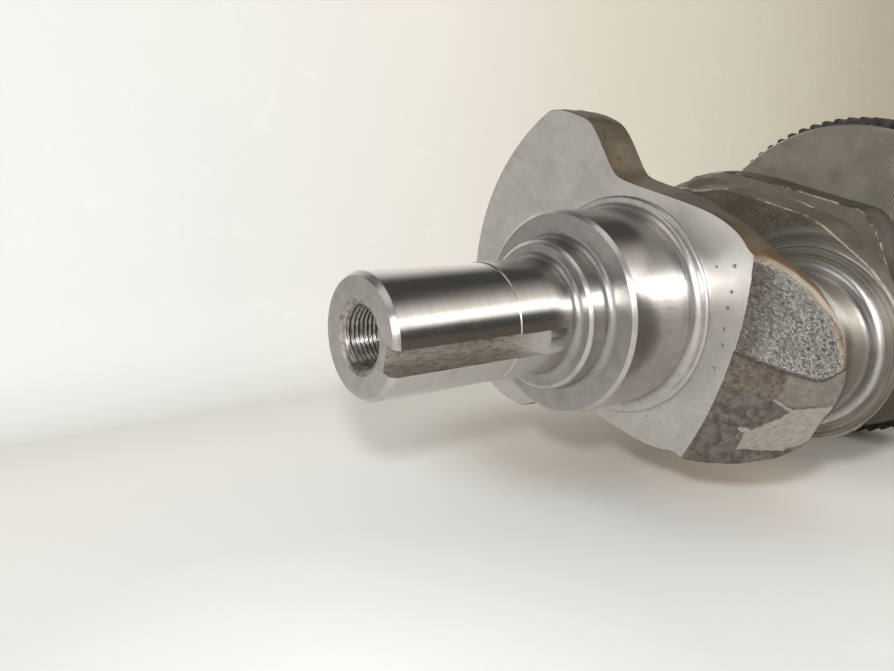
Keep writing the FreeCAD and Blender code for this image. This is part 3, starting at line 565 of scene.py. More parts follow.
def turned_steel(name="turned_face", brightness=1.0, rough=0.25):
    """Turned but not ground: snout face, collar faces, chamfers, flange."""
    x, y, z, point = begin_crank_material(name)
    radius = radius_of(y, z)
    angle = angle_of(y, z)
    lines = noise_map(vec(radius * 4.0, angle * 0.9, x * 4.0), detail=4.0, rough=0.65)
    blot = noise_map(point, scale=0.28, detail=6.0, rough=0.65)
    nicks = noise_map(point, scale=1.1, detail=4.0, rough=0.7, seed=3.0).step(0.66, 0.74)
    colour = layered(
        shade((0.56, 0.545, 0.53), brightness),
        (shade((0.42, 0.40, 0.38), brightness), blot.step(0.42, 0.70) * 0.7),
        (shade((0.27, 0.245, 0.22), brightness), nicks * 0.45))
    return end_material(colour=colour, metallic=0.95,
                        roughness=(lines - 0.5) * 0.2 + blot * 0.12 + nicks * 0.1 + rough,
                        height=lines + blot * 0.4 - nicks * 0.3, depth=0.009,
                        lay=(y, z, 0.5))


def oil_bore_steel():
    *_, point = begin_crank_material("oil_bore")
    blot = noise_map(point, scale=1.2, detail=4.0, rough=0.6)
    return end_material(
        colour=mix((0.05, 0.043, 0.035), (0.18, 0.165, 0.145), blot.step(0.4, 0.7)),
        metallic=0.8, roughness=blot * 0.3 + 0.3, height=blot, depth=0.03)


FORGING_MATS = [
    ground_steel("ground_main"),
    ground_steel("ground_pin_one", THROW),
    ground_steel("ground_pin_two", -THROW),
    turned_steel(),
    milled_face(),
    forged_skin("forged_rim", base=(0.134, 0.102, 0.068), light=(0.200, 0.160, 0.110),
                metallic=0.50, wear_and_highlight=rim_stains_wear_and_highlight),
    relief_one(),
    disc_face(),
    web_cheek(),
    keyway_steel(),
    thread_steel(),
    oil_bore_steel(),
    forged_skin("relief_plain", base=(0.105, 0.092, 0.070), light=(0.20, 0.18, 0.145),
                metallic=0.5),
    forged_skin("forged_olive", base=(0.112, 0.097, 0.066), light=(0.170, 0.150, 0.105),
                metallic=0.45, dark=(0.070, 0.062, 0.045), rust=0.12,
                wear_and_highlight=front_edge_wear_and_highlight(X_WEB2)),
    # web three's skin, darker than web two's: painted shade, with a painted highlight on its front
    # edge
    forged_skin("forged_painted_shade", base=(0.060, 0.051, 0.036), light=(0.105, 0.092, 0.066),
                metallic=0.40, dark=(0.030, 0.026, 0.020), rust=0.15,
                wear_and_highlight=front_edge_wear_and_highlight(X_WEB3)),
    # a darker copy of the turned finish for the snout's collar fillets and the punch dots' mouths:
    # painted shade
    turned_steel("turned_painted_shade", brightness=0.68, rough=0.27),
]
# slot numbers, in the order of the list above
(GROUND, GROUND_PIN1, GROUND_PIN2, TURNED, MILLED, RIM, RELIEF, DISC, CHEEK, KEYWAY, THREAD,
 BORE, RELIEF_PLAIN, OLIVE, PAINTED_SHADE_SKIN, TURNED_SHADED) = range(16)


# ---------------------------------------------------------------- mesh builders, mm
def to_object(name, verts, faces, surfaces, slots=FORGING_MATS):
    mesh = bpy.data.meshes.new(name)
    mesh.from_pydata([tuple(vert) for vert in verts], [], faces)
    for material in slots:
        mesh.materials.append(material)
    mesh.polygons.foreach_set("material_index", surfaces)
    work = bmesh.new()
    work.from_mesh(mesh)
    bmesh.ops.remove_doubles(work, verts=work.verts, dist=1e-5)
    bmesh.ops.recalc_face_normals(work, faces=work.faces)
    work.to_mesh(mesh)
    work.free()
    piece = bpy.data.objects.new(name, mesh)
    bpy.context.scene.collection.objects.link(piece)
    return piece


def add_ring(verts, x, radii, centre_y=0.0, centre_z=0.0):
    """Adds a ring of vertices round the x direction and returns their numbers."""
    start, count = len(verts), len(radii)
    for k, radius in enumerate(radii):
        angle = 2 * math.pi * k / count
        verts.append((x, centre_y + radius * math.sin(angle), centre_z + radius * math.cos(angle)))
    return list(range(start, start + count))


def skin(rows, surfaces):
    """Faces between successive rings; a row of one vertex is a pole."""
    faces, bands = [], []
    for first, second, surface in zip(rows, rows[1:], surfaces):
        count = max(len(first), len(second))
        for k in range(count):
            k2 = (k + 1) % count
            if len(first) == 1:
                faces.append((first[0], second[k], second[k2]))
            elif len(second) == 1:
                faces.append((first[k], second[0], first[k2]))
            else:
                faces.append((first[k], second[k], second[k2], first[k2]))
            bands.append(surface)
    return faces, bands


def layered_faces(count, layers):
    """Walls between stacked outlines, then the first and last caps."""
    faces = []
    for i in range(layers - 1):
        for k in range(count):
            k2 = (k + 1) % count
            faces.append((i * count + k, i * count + k2,
                          (i + 1) * count + k2, (i + 1) * count + k))
    faces.append(tuple(range(count - 1, -1, -1)))
    faces.append(tuple((layers - 1) * count + k for k in range(count)))
    return faces


def band(surface, *points):
    """(x, radius) points sharing one surface."""
    return [(x, radius, surface) for x, radius in points]


def arc(surface, x, radius, size, start, end, steps):
    """An arc in the (x, radius) plane; start and end in degrees."""
    angles = [math.radians(start + (end - start) * i / steps) for i in range(steps + 1)]
    return band(surface, *[(x + size * math.cos(a), radius + size * math.sin(a))
                           for a in angles])


def cylinder(surface, x, span, radius, cuts, steps):
    """The first few of the steps along a straight cylinder."""
    return band(surface, *[(x + span * i / steps, radius) for i in range(1, cuts + 1)])


def lathe(name, profile, centre_z=0.0, segments=256, slots=FORGING_MATS, centre_y=0.0):
    """profile: (x, radius, surface of the band that follows). First and last radius are 0."""
    verts = []
    rows = []
    for x, radius, _ in profile:
        if radius <= 1e-9:
            verts.append((x, centre_y, centre_z))
            rows.append([len(verts) - 1])
        else:
            rows.append(add_ring(verts, x, [radius] * segments, centre_y, centre_z))
    faces, bands = skin(rows, [surface for _, _, surface in profile])
    return to_object(name, verts, faces, bands, slots)


def tube(name, profile, slots, segments=192):
    """A closed ring from a closed (x, radius) outline."""
    verts = []
    rows = [add_ring(verts, x, [radius] * segments) for x, radius in profile]
    faces, bands = skin(rows + rows[:1], [0] * len(rows))
    return to_object(name, verts, faces, bands, slots)


def revolve(start, way, profile, segments):
    """Vertices and rings of (distance, radius) points turned about any line."""
    along = Vector(way).normalized()
    side = along.orthogonal().normalized()
    other = along.cross(side)
    verts, rows = [], []
    for distance, radius in profile:
        first = len(verts)
        if radius == 0:
            verts.append(Vector(start) + along * distance)
        else:
            for k in range(segments):
                a = 2 * math.pi * k / segments
                verts.append(Vector(start) + along * distance
                             + (side * math.cos(a) + other * math.sin(a)) * radius)
        rows.append(list(range(first, len(verts))))
    return verts, rows


def drill(name, start, way, length, radius, mouth=None, cone=0.8, cone_surface=TURNED,
          segments=48):
    """A drilling as a cutting tool; from the distance mouth it opens at 45 degrees."""
    profile = [(0.0, 0.0), (0.0, radius), (length, radius), (length, 0.0)]
    surfaces = [BORE] * 3
    if mouth:
        profile[2:3] = [(mouth, radius), (mouth + cone, radius + cone),
                        (length, radius + cone + (length - mouth - cone))]
        surfaces = [BORE] * 2 + [cone_surface] * 3
    verts, rows = revolve(start, way, profile, segments)
    faces, bands = skin(rows, surfaces)
    return to_object(name, verts, faces, bands)


def tap(name, x_mouth, direction, depth, minor, major, pitch, mouth, segments,
        centre_y=0.0, centre_z=0.0, lip=None):
    """A tapped hole as a cutting tool: countersunk mouth, helical thread, drill point.
    direction is +1 or -1 along x; with a lip, the mouth closes in a curve to that radius."""
    rings_per_turn, run_out = 10, 2.0
    verts, rows = [], []

    def ring(x, radii):
        rows.append(add_ring(verts, x, radii, centre_y, centre_z))

    ring(x_mouth - direction * 0.6, [mouth + 0.6] * segments)
    ring(x_mouth, [mouth] * segments)
    for i in range(int(depth / pitch * rings_per_turn) + 1):
        reach = i / rings_per_turn * pitch
        if lip is None:
            limit = mouth - reach * 1.15
        else:
            limit = lip + (mouth - lip) * math.exp(-reach / 0.55)
        radii = []
        for k in range(segments):
            angle = 2 * math.pi * k / segments
            phase = (reach / pitch - direction * angle / (2 * math.pi)) % 1.0
            triangle = 1.0 - abs(2 * phase - 1.0)
            height = max(0.0, min(1.0, triangle * 1.35 - 0.18))
            height *= max(0.0, min(1.0, (depth - reach) / run_out))
            radii.append(max(minor + (major - minor) * height, limit))
        ring(x_mouth + direction * (reach + 0.02), radii)
    end = x_mouth + direction * (depth + 2.5)
    ring(end, [minor] * segments)
    faces, bands = skin(rows, [TURNED] * 2 + [THREAD] * (len(rows) - 3))
    verts.append((end + direction * (minor * 0.58), centre_y, centre_z))
    point_faces, point_bands = skin([rows[-1], [len(verts) - 1]], [BORE])
    return to_object(name, verts, faces + [tuple(rows[0])] + point_faces,
                     bands + [THREAD] + point_bands)


def boolean(target, tool, operation="DIFFERENCE"):
    """Applies a tool to a piece and deletes the tool."""
    modifier = target.modifiers.new("b", "BOOLEAN")
    modifier.operation = operation
    modifier.object = tool
    modifier.solver = "MANIFOLD"
    graph = bpy.context.evaluated_depsgraph_get()
    mesh = bpy.data.meshes.new_from_object(target.evaluated_get(graph))
    target.modifiers.clear()
    old = target.data
    target.data = mesh
    bpy.data.meshes.remove(old)
    bpy.data.objects.remove(tool, do_unlink=True)


def finish_piece(piece, angle, node, body="crank"):
    """Turns the piece to its resting attitude, in metres, shades it and fastens it."""
    piece.data.transform(ROT @ Matrix.Scale(MM, 4))
    piece.data.shade_smooth()
    piece.data.set_sharp_from_angle(angle=math.radians(angle))
    normals = piece.modifiers.new("normals", "WEIGHTED_NORMAL")
    normals.mode = "FACE_AREA"
    normals.weight = 60
    normals.keep_sharp = True
    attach(piece, body)
    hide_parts(node)


# ---------------------------------------------------------------- the forging: turned parts
SUNK = 6                       # how far a journal's ends reach into its neighbours
PAD = 1.2                      # height of the pads beside the journals


def front_end():
    """Snout, collar and first main journal."""
    profile = [
        (X_SNOUT, 0, TURNED), (X_SNOUT, 13.05, TURNED), (X_SNOUT + 0.10, 13.15, TURNED),
        (X_SNOUT + 1.20, 13.92, TURNED), (X_SNOUT + 1.38, SNOUT_R, GROUND),
        *cylinder(GROUND, X_SNOUT + 1.38, X_STEP - X_SNOUT - 1.58, SNOUT_R, cuts=12, steps=12),
        (X_STEP, SNOUT_R, TURNED),
        *band(GROUND, (X_STEP + 0.22, 14.25), (X_STEP + 0.3, 14.25), (X_COLLAR - 2.2, 14.25)),
        *arc(TURNED_SHADED, X_COLLAR - SNOUT_FILLET, 16.25, SNOUT_FILLET, -90, 0, 8)[1:],
        (X_COLLAR, 17.75, TURNED), (X_COLLAR + 0.15, 17.98, TURNED),
        (X_COLLAR + 0.62, 18.55, TURNED), (X_COLLAR + 0.8, COLLAR_R, GROUND),
        (X_MAIN1 - 2.2, COLLAR_R, GROUND),
        *arc(TURNED_SHADED, X_MAIN1 - SNOUT_FILLET, COLLAR_R + SNOUT_FILLET, SNOUT_FILLET,
             -90, 0, 8)[1:],
        (X_MAIN1, 25.1, TURNED), (X_MAIN1 + 0.1, 25.25, TURNED),
        (X_MAIN1 + 0.75, 25.9, TURNED), (X_MAIN1 + 0.9, MAIN_R, GROUND),
        *cylinder(GROUND, X_MAIN1 + 0.9, X_PAD1 - 2.3 - X_MAIN1 - 0.9, MAIN_R, cuts=8, steps=8),
        *arc(TURNED, X_PAD1 - FILLET, MAIN_R + FILLET, FILLET, -90, 0, 10)[1:],
        *band(TURNED, (X_PAD1, 28.9), (X_PAD1 + 0.1, 29.2), (X_PAD1 + 0.3, PAD_R - 0.05),
              (X_PAD1 + 0.4, PAD_R), (X_WEB1 - 0.25, PAD_R)),
        (X_WEB1 + 7, PAD_R, BORE), (X_WEB1 + 7, 0, BORE)]
    return lathe("crank_forging_surface", profile, segments=288)


def journal(front, rear, pad_front, pad_rear, surface, radius=PIN_R, boss=None):
    """Profile of a crankpin or main journal, from inside one web to inside the next."""
    start = front + PAD + FILLET
    end = rear - PAD if boss is None else boss
    return [
        (front - SUNK, 0, BORE), (front - SUNK, pad_front, TURNED),
        (front + 0.9, pad_front, TURNED), (front + PAD, pad_front - 0.25, CHEEK),
        (front + PAD, radius + FILLET, surface),
        *arc(TURNED, start, radius + FILLET, FILLET, 180, 270, 10)[1:-1],
        (start, radius, surface),
        *cylinder(surface, start, (end - FILLET) - start, radius, cuts=7, steps=8),
        *arc(TURNED, end - FILLET, radius + FILLET, FILLET, -90, 0, 10)[:-1],
        (end, radius + FILLET, CHEEK), (end, pad_rear - 0.3, TURNED),
        (end + 0.3, pad_rear, TURNED), (rear + SUNK, pad_rear, BORE), (rear + SUNK, 0, BORE)]


def rear_end():
    """Disc, seat of the toothed ring, last main journal, flange and spigot."""
    start = X_MAIN3 + 3.4
    profile = [
        (X_DISC, 0, DISC), (X_DISC, 54.05, TURNED), (X_DISC + 0.45, 54.5, RIM),
        *band(TURNED, (X_RIM - 0.3, 54.5), (X_RIM, 54.2), (X_RIM, SEAT_R),
              (X_MAIN3 - 0.4, SEAT_R)),
        (X_MAIN3, 46.6, MILLED), (X_MAIN3, PAD_R, TURNED), (X_MAIN3 + 0.9, PAD_R, TURNED),
        (X_MAIN3 + PAD, 29.2, TURNED), (X_MAIN3 + PAD, MAIN_R + FILLET, GROUND),
        *arc(GROUND, start, MAIN_R + FILLET, FILLET, 180, 270, 10)[1:],
        *cylinder(GROUND, start, X_FLANGE - FILLET - X_MAIN3 - 3.4, MAIN_R, cuts=7, steps=8),
        *arc(GROUND, X_FLANGE - FILLET, MAIN_R + FILLET, FILLET, -90, 0, 10),
        (X_FLANGE, 37.0, TURNED), (X_FLANGE + 1.0, 38.0, GROUND),
        *band(TURNED, (X_FLANGE_REAR - 1.0, 38.0), (X_FLANGE_REAR, 37.0),
              (X_FLANGE_REAR, 22.9)),
        (X_FLANGE_REAR + 0.25, 22.5, GROUND),
        *band(TURNED, (X_SPIGOT - 0.8, 22.5), (X_SPIGOT, 21.7), (X_SPIGOT, 18.3)),
        (X_SPIGOT - 0.8, 17.5, GROUND), (X_FLANGE_REAR - 9.0, 17.5, TURNED),
        *band(BORE, (X_FLANGE_REAR - 9.0, 12.0), (X_FLANGE_REAR - 14.0, 12.0),
              (X_FLANGE_REAR - 17.4, 0))]
    return lathe("rear_turned", profile, segments=288)


# ---------------------------------------------------------------- the forging: webs
def even_outline(points, smoothing):
    """A closed outline resampled every 0.9 mm, then relaxed."""
    outline = np.array(points, float)
    outline = np.vstack([outline, outline[:1]])
    lengths = np.hypot(*(outline[1:] - outline[:-1]).T)
    travel = np.concatenate([[0], np.cumsum(lengths)])
    count = max(8, int(round(travel[-1] / 0.9)))
    places = np.linspace(0, travel[-1], count + 1)[:-1]
    outline = np.column_stack([np.interp(places, travel, outline[:, 0]),
                               np.interp(places, travel, outline[:, 1])])
    for _ in range(smoothing):
        outline = outline * 0.5 + 0.25 * (np.roll(outline, 1, 0) + np.roll(outline, -1, 0))
    return outline


def outward(outline):
    """Outward unit normals of a closed outline."""
    ahead = np.roll(outline, -1, 0)
    along = ahead - np.roll(outline, 1, 0)
    normals = np.column_stack([along[:, 1], -along[:, 0]])
    normals /= np.linalg.norm(normals, axis=1)[:, None]
    area = 0.5 * np.sum(outline[:, 0] * ahead[:, 1] - ahead[:, 0] * outline[:, 1])
    return normals if area > 0 else -normals


def smoothstep(low, high, value):
    value = max(0.0, min(1.0, (value - low) / (high - low)))
    return value * value * (3 - 2 * value)


def slab(name, outline, front, rear, rounds, surfaces, bulge, rough, seed, inset=None):
    """A forged web: flat faces, rounded rims, slightly crowned and uneven sides.
    rounds: front, rear. surfaces: side, front, rear. inset(t, y, z) draws the side in."""
    front_round, rear_round = rounds
    quarter = [math.radians(90 * i / 5) for i in range(6)]
    rows = [(front + front_round * (1 - math.cos(a)), -front_round * (1 - math.sin(a)))
            for a in quarter]
    rows += [(front + front_round + (rear - rear_round - front - front_round) * i / 16, 0.0)
             for i in range(1, 16)]
    rows += [(rear - rear_round * (1 - math.sin(a)), -rear_round * (1 - math.cos(a)))
             for a in quarter]
    normals = outward(outline)
    verts = []
    for x, offset in rows:
        t = (x - front) / (rear - front)
        # the second term is the narrow ridge left at the parting line
        crown = bulge * (1 - (2 * t - 1) ** 2) + 0.14 * math.exp(-((t - 0.5) / 0.045) ** 2)
        fade = max(0.0, min(1.0, (x - front) / 1.5, (rear - x) / 1.5 + 0.15))
        for (y, z), (normal_y, normal_z) in zip(outline, normals):
            broad = Vector((x * 0.16, y * 0.16, z * 0.16 + seed))
            fine = Vector((x * 0.55, y * 0.55, z * 0.55 + seed))
            push = offset + crown + rough * (noise.noise(broad) * 2.2
                                             + noise.noise(fine) * 0.7) * fade
            if inset:
                push -= inset(t, y, z)
            verts.append((x, y + normal_y * push, z + normal_z * push))
    faces = layered_faces(len(outline), len(rows))
    side, first_cap, last_cap = surfaces
    return to_object(name, verts, faces, [side] * (len(faces) - 2) + [first_cap, last_cap])


# Flank of web one from counterweight to nose: (y, z) in snout radii
WEB1_FLANK = [
    (3.17, -2.9), (3.21, -2.74), (3.25, -2.57), (3.25, -2.3), (3.23, -2.05), (3.21, -1.85),
    (3.16, -1.72), (3.03, -1.55), (2.89, -1.39), (2.71, -1.20), (2.55, -1.04), (2.42, -0.89),
    (2.355, -0.78), (2.325, -0.55), (2.32, -0.2), (2.32, 0.3), (2.32, 0.8), (2.31, 1.2),
    (2.29, 1.42), (2.24, 1.68), (2.17, 1.92), (2.07, 2.12)]
# Nose of web one on its +y and -y sides: (y, z) in mm
WEB1_NOSE_PLUS = [(26.6, 32.6), (25.6, 36.0), (23.7, 41.3), (21.7, 44.9), (19.4, 48.0),
                  (16.9, 51.4), (14.3, 54.0), (10.4, 56.0), (6.3, 57.2)]
WEB1_NOSE_MINUS = [(-29.6, 32.6), (-28.6, 37.0), (-27.0, 42.0), (-24.6, 46.6), (-21.6, 50.6),
                   (-18.2, 53.8), (-13.6, 56.0), (-7.0, 57.2)]


def web_one_outline():
    plus = [(y * SNOUT_R, z * SNOUT_R) for y, z in WEB1_FLANK] + WEB1_NOSE_PLUS
    minus = [(-y * SNOUT_R, z * SNOUT_R) for y, z in WEB1_FLANK] + WEB1_NOSE_MINUS
    start_y, start_z = WEB1_FLANK[0]
    angle = math.atan2(start_z * SNOUT_R, start_y * SNOUT_R)
    radius = math.hypot(start_z, start_y) * SNOUT_R
    counterweight = [(radius * math.cos(a), radius * math.sin(a))
                     for a in np.linspace(math.pi - angle - 2 * math.pi, angle, 90)][1:-1]
    return even_outline([*plus, (0.0, 57.4), *reversed(minus), *counterweight], smoothing=3)


def plain_outline(flank, heel_r, flip=False):
    """Webs two and three: straight flanks, round nose about the crankpin, round heel."""
    nose_r, nose_y, nose_z = 26.6, 24.6, 45.5
    heel_z = -math.sqrt(heel_r ** 2 - flank ** 2)
    plus = [(flank, heel_z), (flank, -8.0), (flank, 10.0), (flank - 0.2, 24.0),
            (31.2, 29.5), (28.0, 37.5), (nose_y, nose_z)]
    start = math.atan2(nose_z - THROW, nose_y)
    nose = [(nose_r * math.cos(a), nose_r * math.sin(a) + THROW)
            for a in np.linspace(start, math.pi - start, 50)][1:-1]
    minus = [(-y, z) for y, z in reversed(plus)]
    heel = [(heel_r * math.cos(a), heel_r * math.sin(a))
            for a in np.linspace(math.atan2(heel_z, -flank), math.atan2(heel_z, flank),
                                 50)][1:-1]
    return even_outline(plus + nose + minus + heel, smoothing=5) * (-1.0 if flip else 1.0)


def rear_taper(t, y, z):
    """Towards the nose the flanks of web one draw in to the rear."""
    return 3.0 * smoothstep(4.0, 22.0, z) * (1.0 - 0.68 * smoothstep(26.0, 37.0, z)) * t ** 1.7


def heel_draft(t, y, z):
    """The heel of web two rolls off towards the front."""
    return 3.4 * smoothstep(0.0, -12.0, z) * (1.0 - t) ** 2.2


def join_forging():
    crank = front_end()
    pad = 26.3
    pin_one = lathe("pin_one", journal(X_PIN1, X_WEB2, 23.0, pad, GROUND_PIN1), THROW, 224)
    main_mid = lathe("main_mid", journal(X_MAIN2, X_WEB3, PAD_R, PAD_R, GROUND, MAIN_R))
    pin_two = lathe("pin_two", journal(X_PIN2, X_DISC, pad, pad, GROUND_PIN2, boss=X_BOSS),
                    -THROW, 224)
    rear = rear_end()
    web_one = slab("web_one", web_one_outline(), X_WEB1, X_PIN1, rounds=(0.18, 2.2),
                   surfaces=(RIM, MILLED, CHEEK), bulge=0.20, rough=0.10, seed=1.0,
                   inset=rear_taper)
    web_two = slab("web_two", plain_outline(flank=32.6, heel_r=36.0), X_WEB2, X_MAIN2,
                   rounds=(0.35, 1.6), surfaces=(OLIVE, CHEEK, CHEEK), bulge=0.35,
                   rough=0.12, seed=5.0, inset=heel_draft)
    web_three = slab("web_three", plain_outline(flank=32.3, heel_r=38.0, flip=True),
                     X_WEB3, X_PIN2, rounds=(0.5, 1.2), surfaces=(PAINTED_SHADE_SKIN, CHEEK, CHEEK),
                     bulge=0.30, rough=0.12, seed=9.0)
    for part in (web_one, pin_one, web_two, main_mid, web_three, pin_two, rear):
        boolean(crank, part, "UNION")
    return crank


# ---------------------------------------------------------------- the forging: cuts
def relief_cutter(name, x_start, x_end, surface, uneven, seed, flip=False, step=None):
    """A dense curved cutter whose inner wall is the conical relief at a web's pin end."""
    rows, columns, outer_r = 44, 150, 175.0
    sign = -1.0 if flip else 1.0
    low = min(x_start, x_end) - 0.8
    high = max(x_start, x_end) + 0.8
    stations = [low + (high - low) * i / rows for i in range(rows + 1)]
    angles = [math.radians(-22.0 + 2 * 22.0 * j / columns) for j in range(columns + 1)]
    verts = []
    for x in stations:
        radius = RELIEF_R0 + (RELIEF_R1 - RELIEF_R0) * (x - x_start) / (x_end - x_start)
        for a in angles:
            y = radius * math.sin(a)
            push = uneven * (noise.noise(Vector((x * 0.30, y * 0.30, seed))) * 1.2
                             + noise.noise(Vector((x * 0.95, y * 0.95, seed + 7.0))) * 0.55)
            if step:
                push += step(x, y)
            verts.append((x, sign * ((radius + push) * math.sin(a)),
                          sign * (-RELIEF_DROP + (radius + push) * math.cos(a))))
    base = len(verts)
    for x in stations:
        for a in (angles[0], angles[-1]):
            verts.append((x, sign * outer_r * math.sin(a),
                          sign * (-RELIEF_DROP + outer_r * math.cos(a))))
    width = columns + 1
    faces = []
    for i in range(rows):
        here, there = i * width, (i + 1) * width
        faces += [(here + j, here + j + 1, there + j + 1, there + j) for j in range(columns)]
        outer, outer_next = base + 2 * i, base + 2 * (i + 1)
        faces.append((here, there, outer_next, outer))
        faces.append((here + columns, there + columns, outer_next + 1, outer + 1))
        faces.append((outer, outer + 1, outer_next + 1, outer_next))
    for first, outer in ((0, base), (rows * width, base + 2 * rows)):
        faces.append((*range(first, first + width), outer + 1, outer))
    return to_object(name, verts, faces, [surface] * len(faces))


def relief_one_step(x, y):
    """The coarse skin on the +y side is cut to a larger radius, with a ragged edge."""
    back = x - X_WEB1
    edge = (3.3 - 0.21 * min(back, 7.5) + 0.42 * max(back - 11.0, 0.0) ** 2
            + 0.7 * noise.noise(Vector((x * 0.6, 3.0, 1.0))))
    raised = max(0.0, min(1.0, (y - edge) / 0.8 + 0.5))
    coarse = 0.0
    if raised > 0.01:
        coarse = (0.14 * noise.noise(Vector((x * 1.55, y * 1.55, 4.0)))
                  + 0.05 * noise.noise(Vector((x * 3.0, y * 3.0, 2.0))))
    dish = -0.30 * math.exp(-(((back - 10.8) / 3.4) ** 2 + ((y + 13.0) / 8.0) ** 2))
    return 0.40 * raised + coarse * raised + dish


def keyway_cutter():
    """A flat-bottomed slot from the snout face, running out along an arc to the rear."""
    top, bottom, half_width = 18.0, 10.5, 3.0
    flat, sweep_r, sweep = 25.3, 44.0, math.radians(36)
    points = [(X_SNOUT - 0.6, top), (X_SNOUT - 0.6, bottom)]
    points += [(X_SNOUT + flat * i / 6, bottom) for i in range(1, 6)]
    points += [(X_SNOUT + flat + sweep_r * math.sin(a),
                bottom + sweep_r - sweep_r * math.cos(a)) for a in np.linspace(0.0, sweep, 30)]
    points.append((X_SNOUT + flat + sweep_r * math.sin(sweep), top))
    count = len(points)
    verts = [(x, y, z) for y in (-half_width, half_width) for x, z in points]
    faces = [tuple(range(count)), tuple(range(2 * count - 1, count - 1, -1))]
    faces += [(i, (i + 1) % count, count + (i + 1) % count, count + i) for i in range(count)]
    return to_object("cut_key", verts, faces, [KEYWAY] * len(faces))


OIL_SLOPE = math.radians(31.2)
OIL_R, CROSS_R, MOUTH_DEPTH, PLUG_HALF = 2.5, 2.2, 0.9, 3.0


def oil_bore(foot_x, pin_x, sign, node):
    """A sloping bore from its foot in a main journal up through a crankpin.
    sign is +1 for crankpin one, -1 for two; reach is the distance to its plug's middle."""
    foot_z = sign * (THROW - sign * (pin_x - foot_x) * math.tan(OIL_SLOPE))
    foot = Vector((foot_x, 0, foot_z))
    way = Vector((sign * math.cos(OIL_SLOPE), 0, sign * math.sin(OIL_SLOPE)))
    low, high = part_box(node)
    centre = ROT.inverted() @ (((low + high) / 2) * 1000.0)
    return SimpleNamespace(foot=foot, foot_z=foot_z, way=way, pin_x=pin_x, sign=sign,
                           node=node, reach=(centre - foot).dot(way))


OIL_BORES = [oil_bore(-4.0, (X_PIN1 + X_WEB2) / 2, 1, "oil_plug_front"),
             oil_bore(157.0, (X_PIN2 + X_BOSS) / 2, -1, "oil_plug_rear")]

# Punch dots on the front face of web one, beside the relief: (y, z, size)
PUNCH_DOTS = [(22.2, 30.0, 0.62), (16.2, 31.4, 0.55), (12.2, 31.6, 0.62), (7.0, 32.4, 0.58),
              (3.2, 33.4, 0.55), (-3.2, 33.3, 0.62), (20.4, 25.6, 0.42)]


def cut_oil_ways(crank):
    for i, bore in enumerate(OIL_BORES, 1):
        boolean(crank, drill(f"cut_oil_{i}", bore.foot - bore.way * 6, bore.way,
                             bore.reach + 6, OIL_R))
    for i, bore in enumerate(OIL_BORES, 1):
        boolean(crank, drill(f"cut_seat_{i}", bore.foot + bore.way * (bore.reach - PLUG_HALF),
                             bore.way, 34.0, 4.02))
    for bore, main_name, pin_name in zip(OIL_BORES, ("cut_m1", "cut_m3"),
                                         ("cut_p1", "cut_p2")):
        skin_reach = MAIN_R + bore.sign * bore.foot_z
        boolean(crank, drill(main_name, bore.foot, (0, 0, -bore.sign), skin_reach + 3,
                             CROSS_R, mouth=skin_reach - MOUTH_DEPTH))
        boolean(crank, drill(pin_name, (bore.pin_x, 0, bore.sign * THROW),
                             (0, -bore.sign, 0), PIN_R + 3, CROSS_R,
                             mouth=PIN_R - MOUTH_DEPTH))


def timing_hole(name):
    return drill(name, (X_MAIN3 - 10.0, 0.0, SEAT_R), (1, 0, 0), 11.0, TIMING_R + CLEARANCE)


def cut_forging(crank):
    boolean(crank, relief_cutter("cut_relief_one", X_WEB1, X_PIN1 - 0.02, RELIEF,
                                 uneven=0.10, seed=1.0, step=relief_one_step))
    boolean(crank, relief_cutter("cut_relief_two", X_MAIN2, X_WEB2 + 0.02, RELIEF_PLAIN,
                                 uneven=0.16, seed=4.0))
    boolean(crank, relief_cutter("cut_relief_three", X_WEB3, X_PIN2 - 0.02, RELIEF_PLAIN,
                                 uneven=0.16, seed=8.0, flip=True))
    boolean(crank, keyway_cutter())
    boolean(crank, tap("cut_snout_thread", X_SNOUT, 1, depth=34.0, minor=6.34, major=6.86,
                       pitch=1.10, mouth=8.30, segments=144, lip=6.45))
    for k in range(6):
        a = math.radians(60 * k + 30)
        boolean(crank, tap(f"cut_flange_{k}", X_FLANGE_REAR, -1, depth=10.5, minor=4.4,
                           major=5.0, pitch=1.25, mouth=5.4, segments=64,
                           centre_z=BOLT_R * math.sin(a), centre_y=BOLT_R * math.cos(a)))
    cut_oil_ways(crank)
    boolean(crank, drill("cut_dowel", (X_FLANGE_REAR - 8.0, BOLT_R, 0.0), (1, 0, 0), 9.0,
                         DOWEL_R + CLEARANCE, mouth=7.6, cone=0.5))
    boolean(crank, timing_hole("cut_timing"))
    for i, (y, z, size) in enumerate(PUNCH_DOTS):
        boolean(crank, drill(f"cut_dot_{i}", (X_WEB1 + size * 0.75, y, z), (-1, 0, 0), 1.5,
                             0.10, mouth=0.02, cone=0.95 if size > 0.5 else 0.7,
                             cone_surface=TURNED_SHADED, segments=20))


forging = join_forging()
cut_forging(forging)
finish_piece(forging, 30.0, "crank_forging")


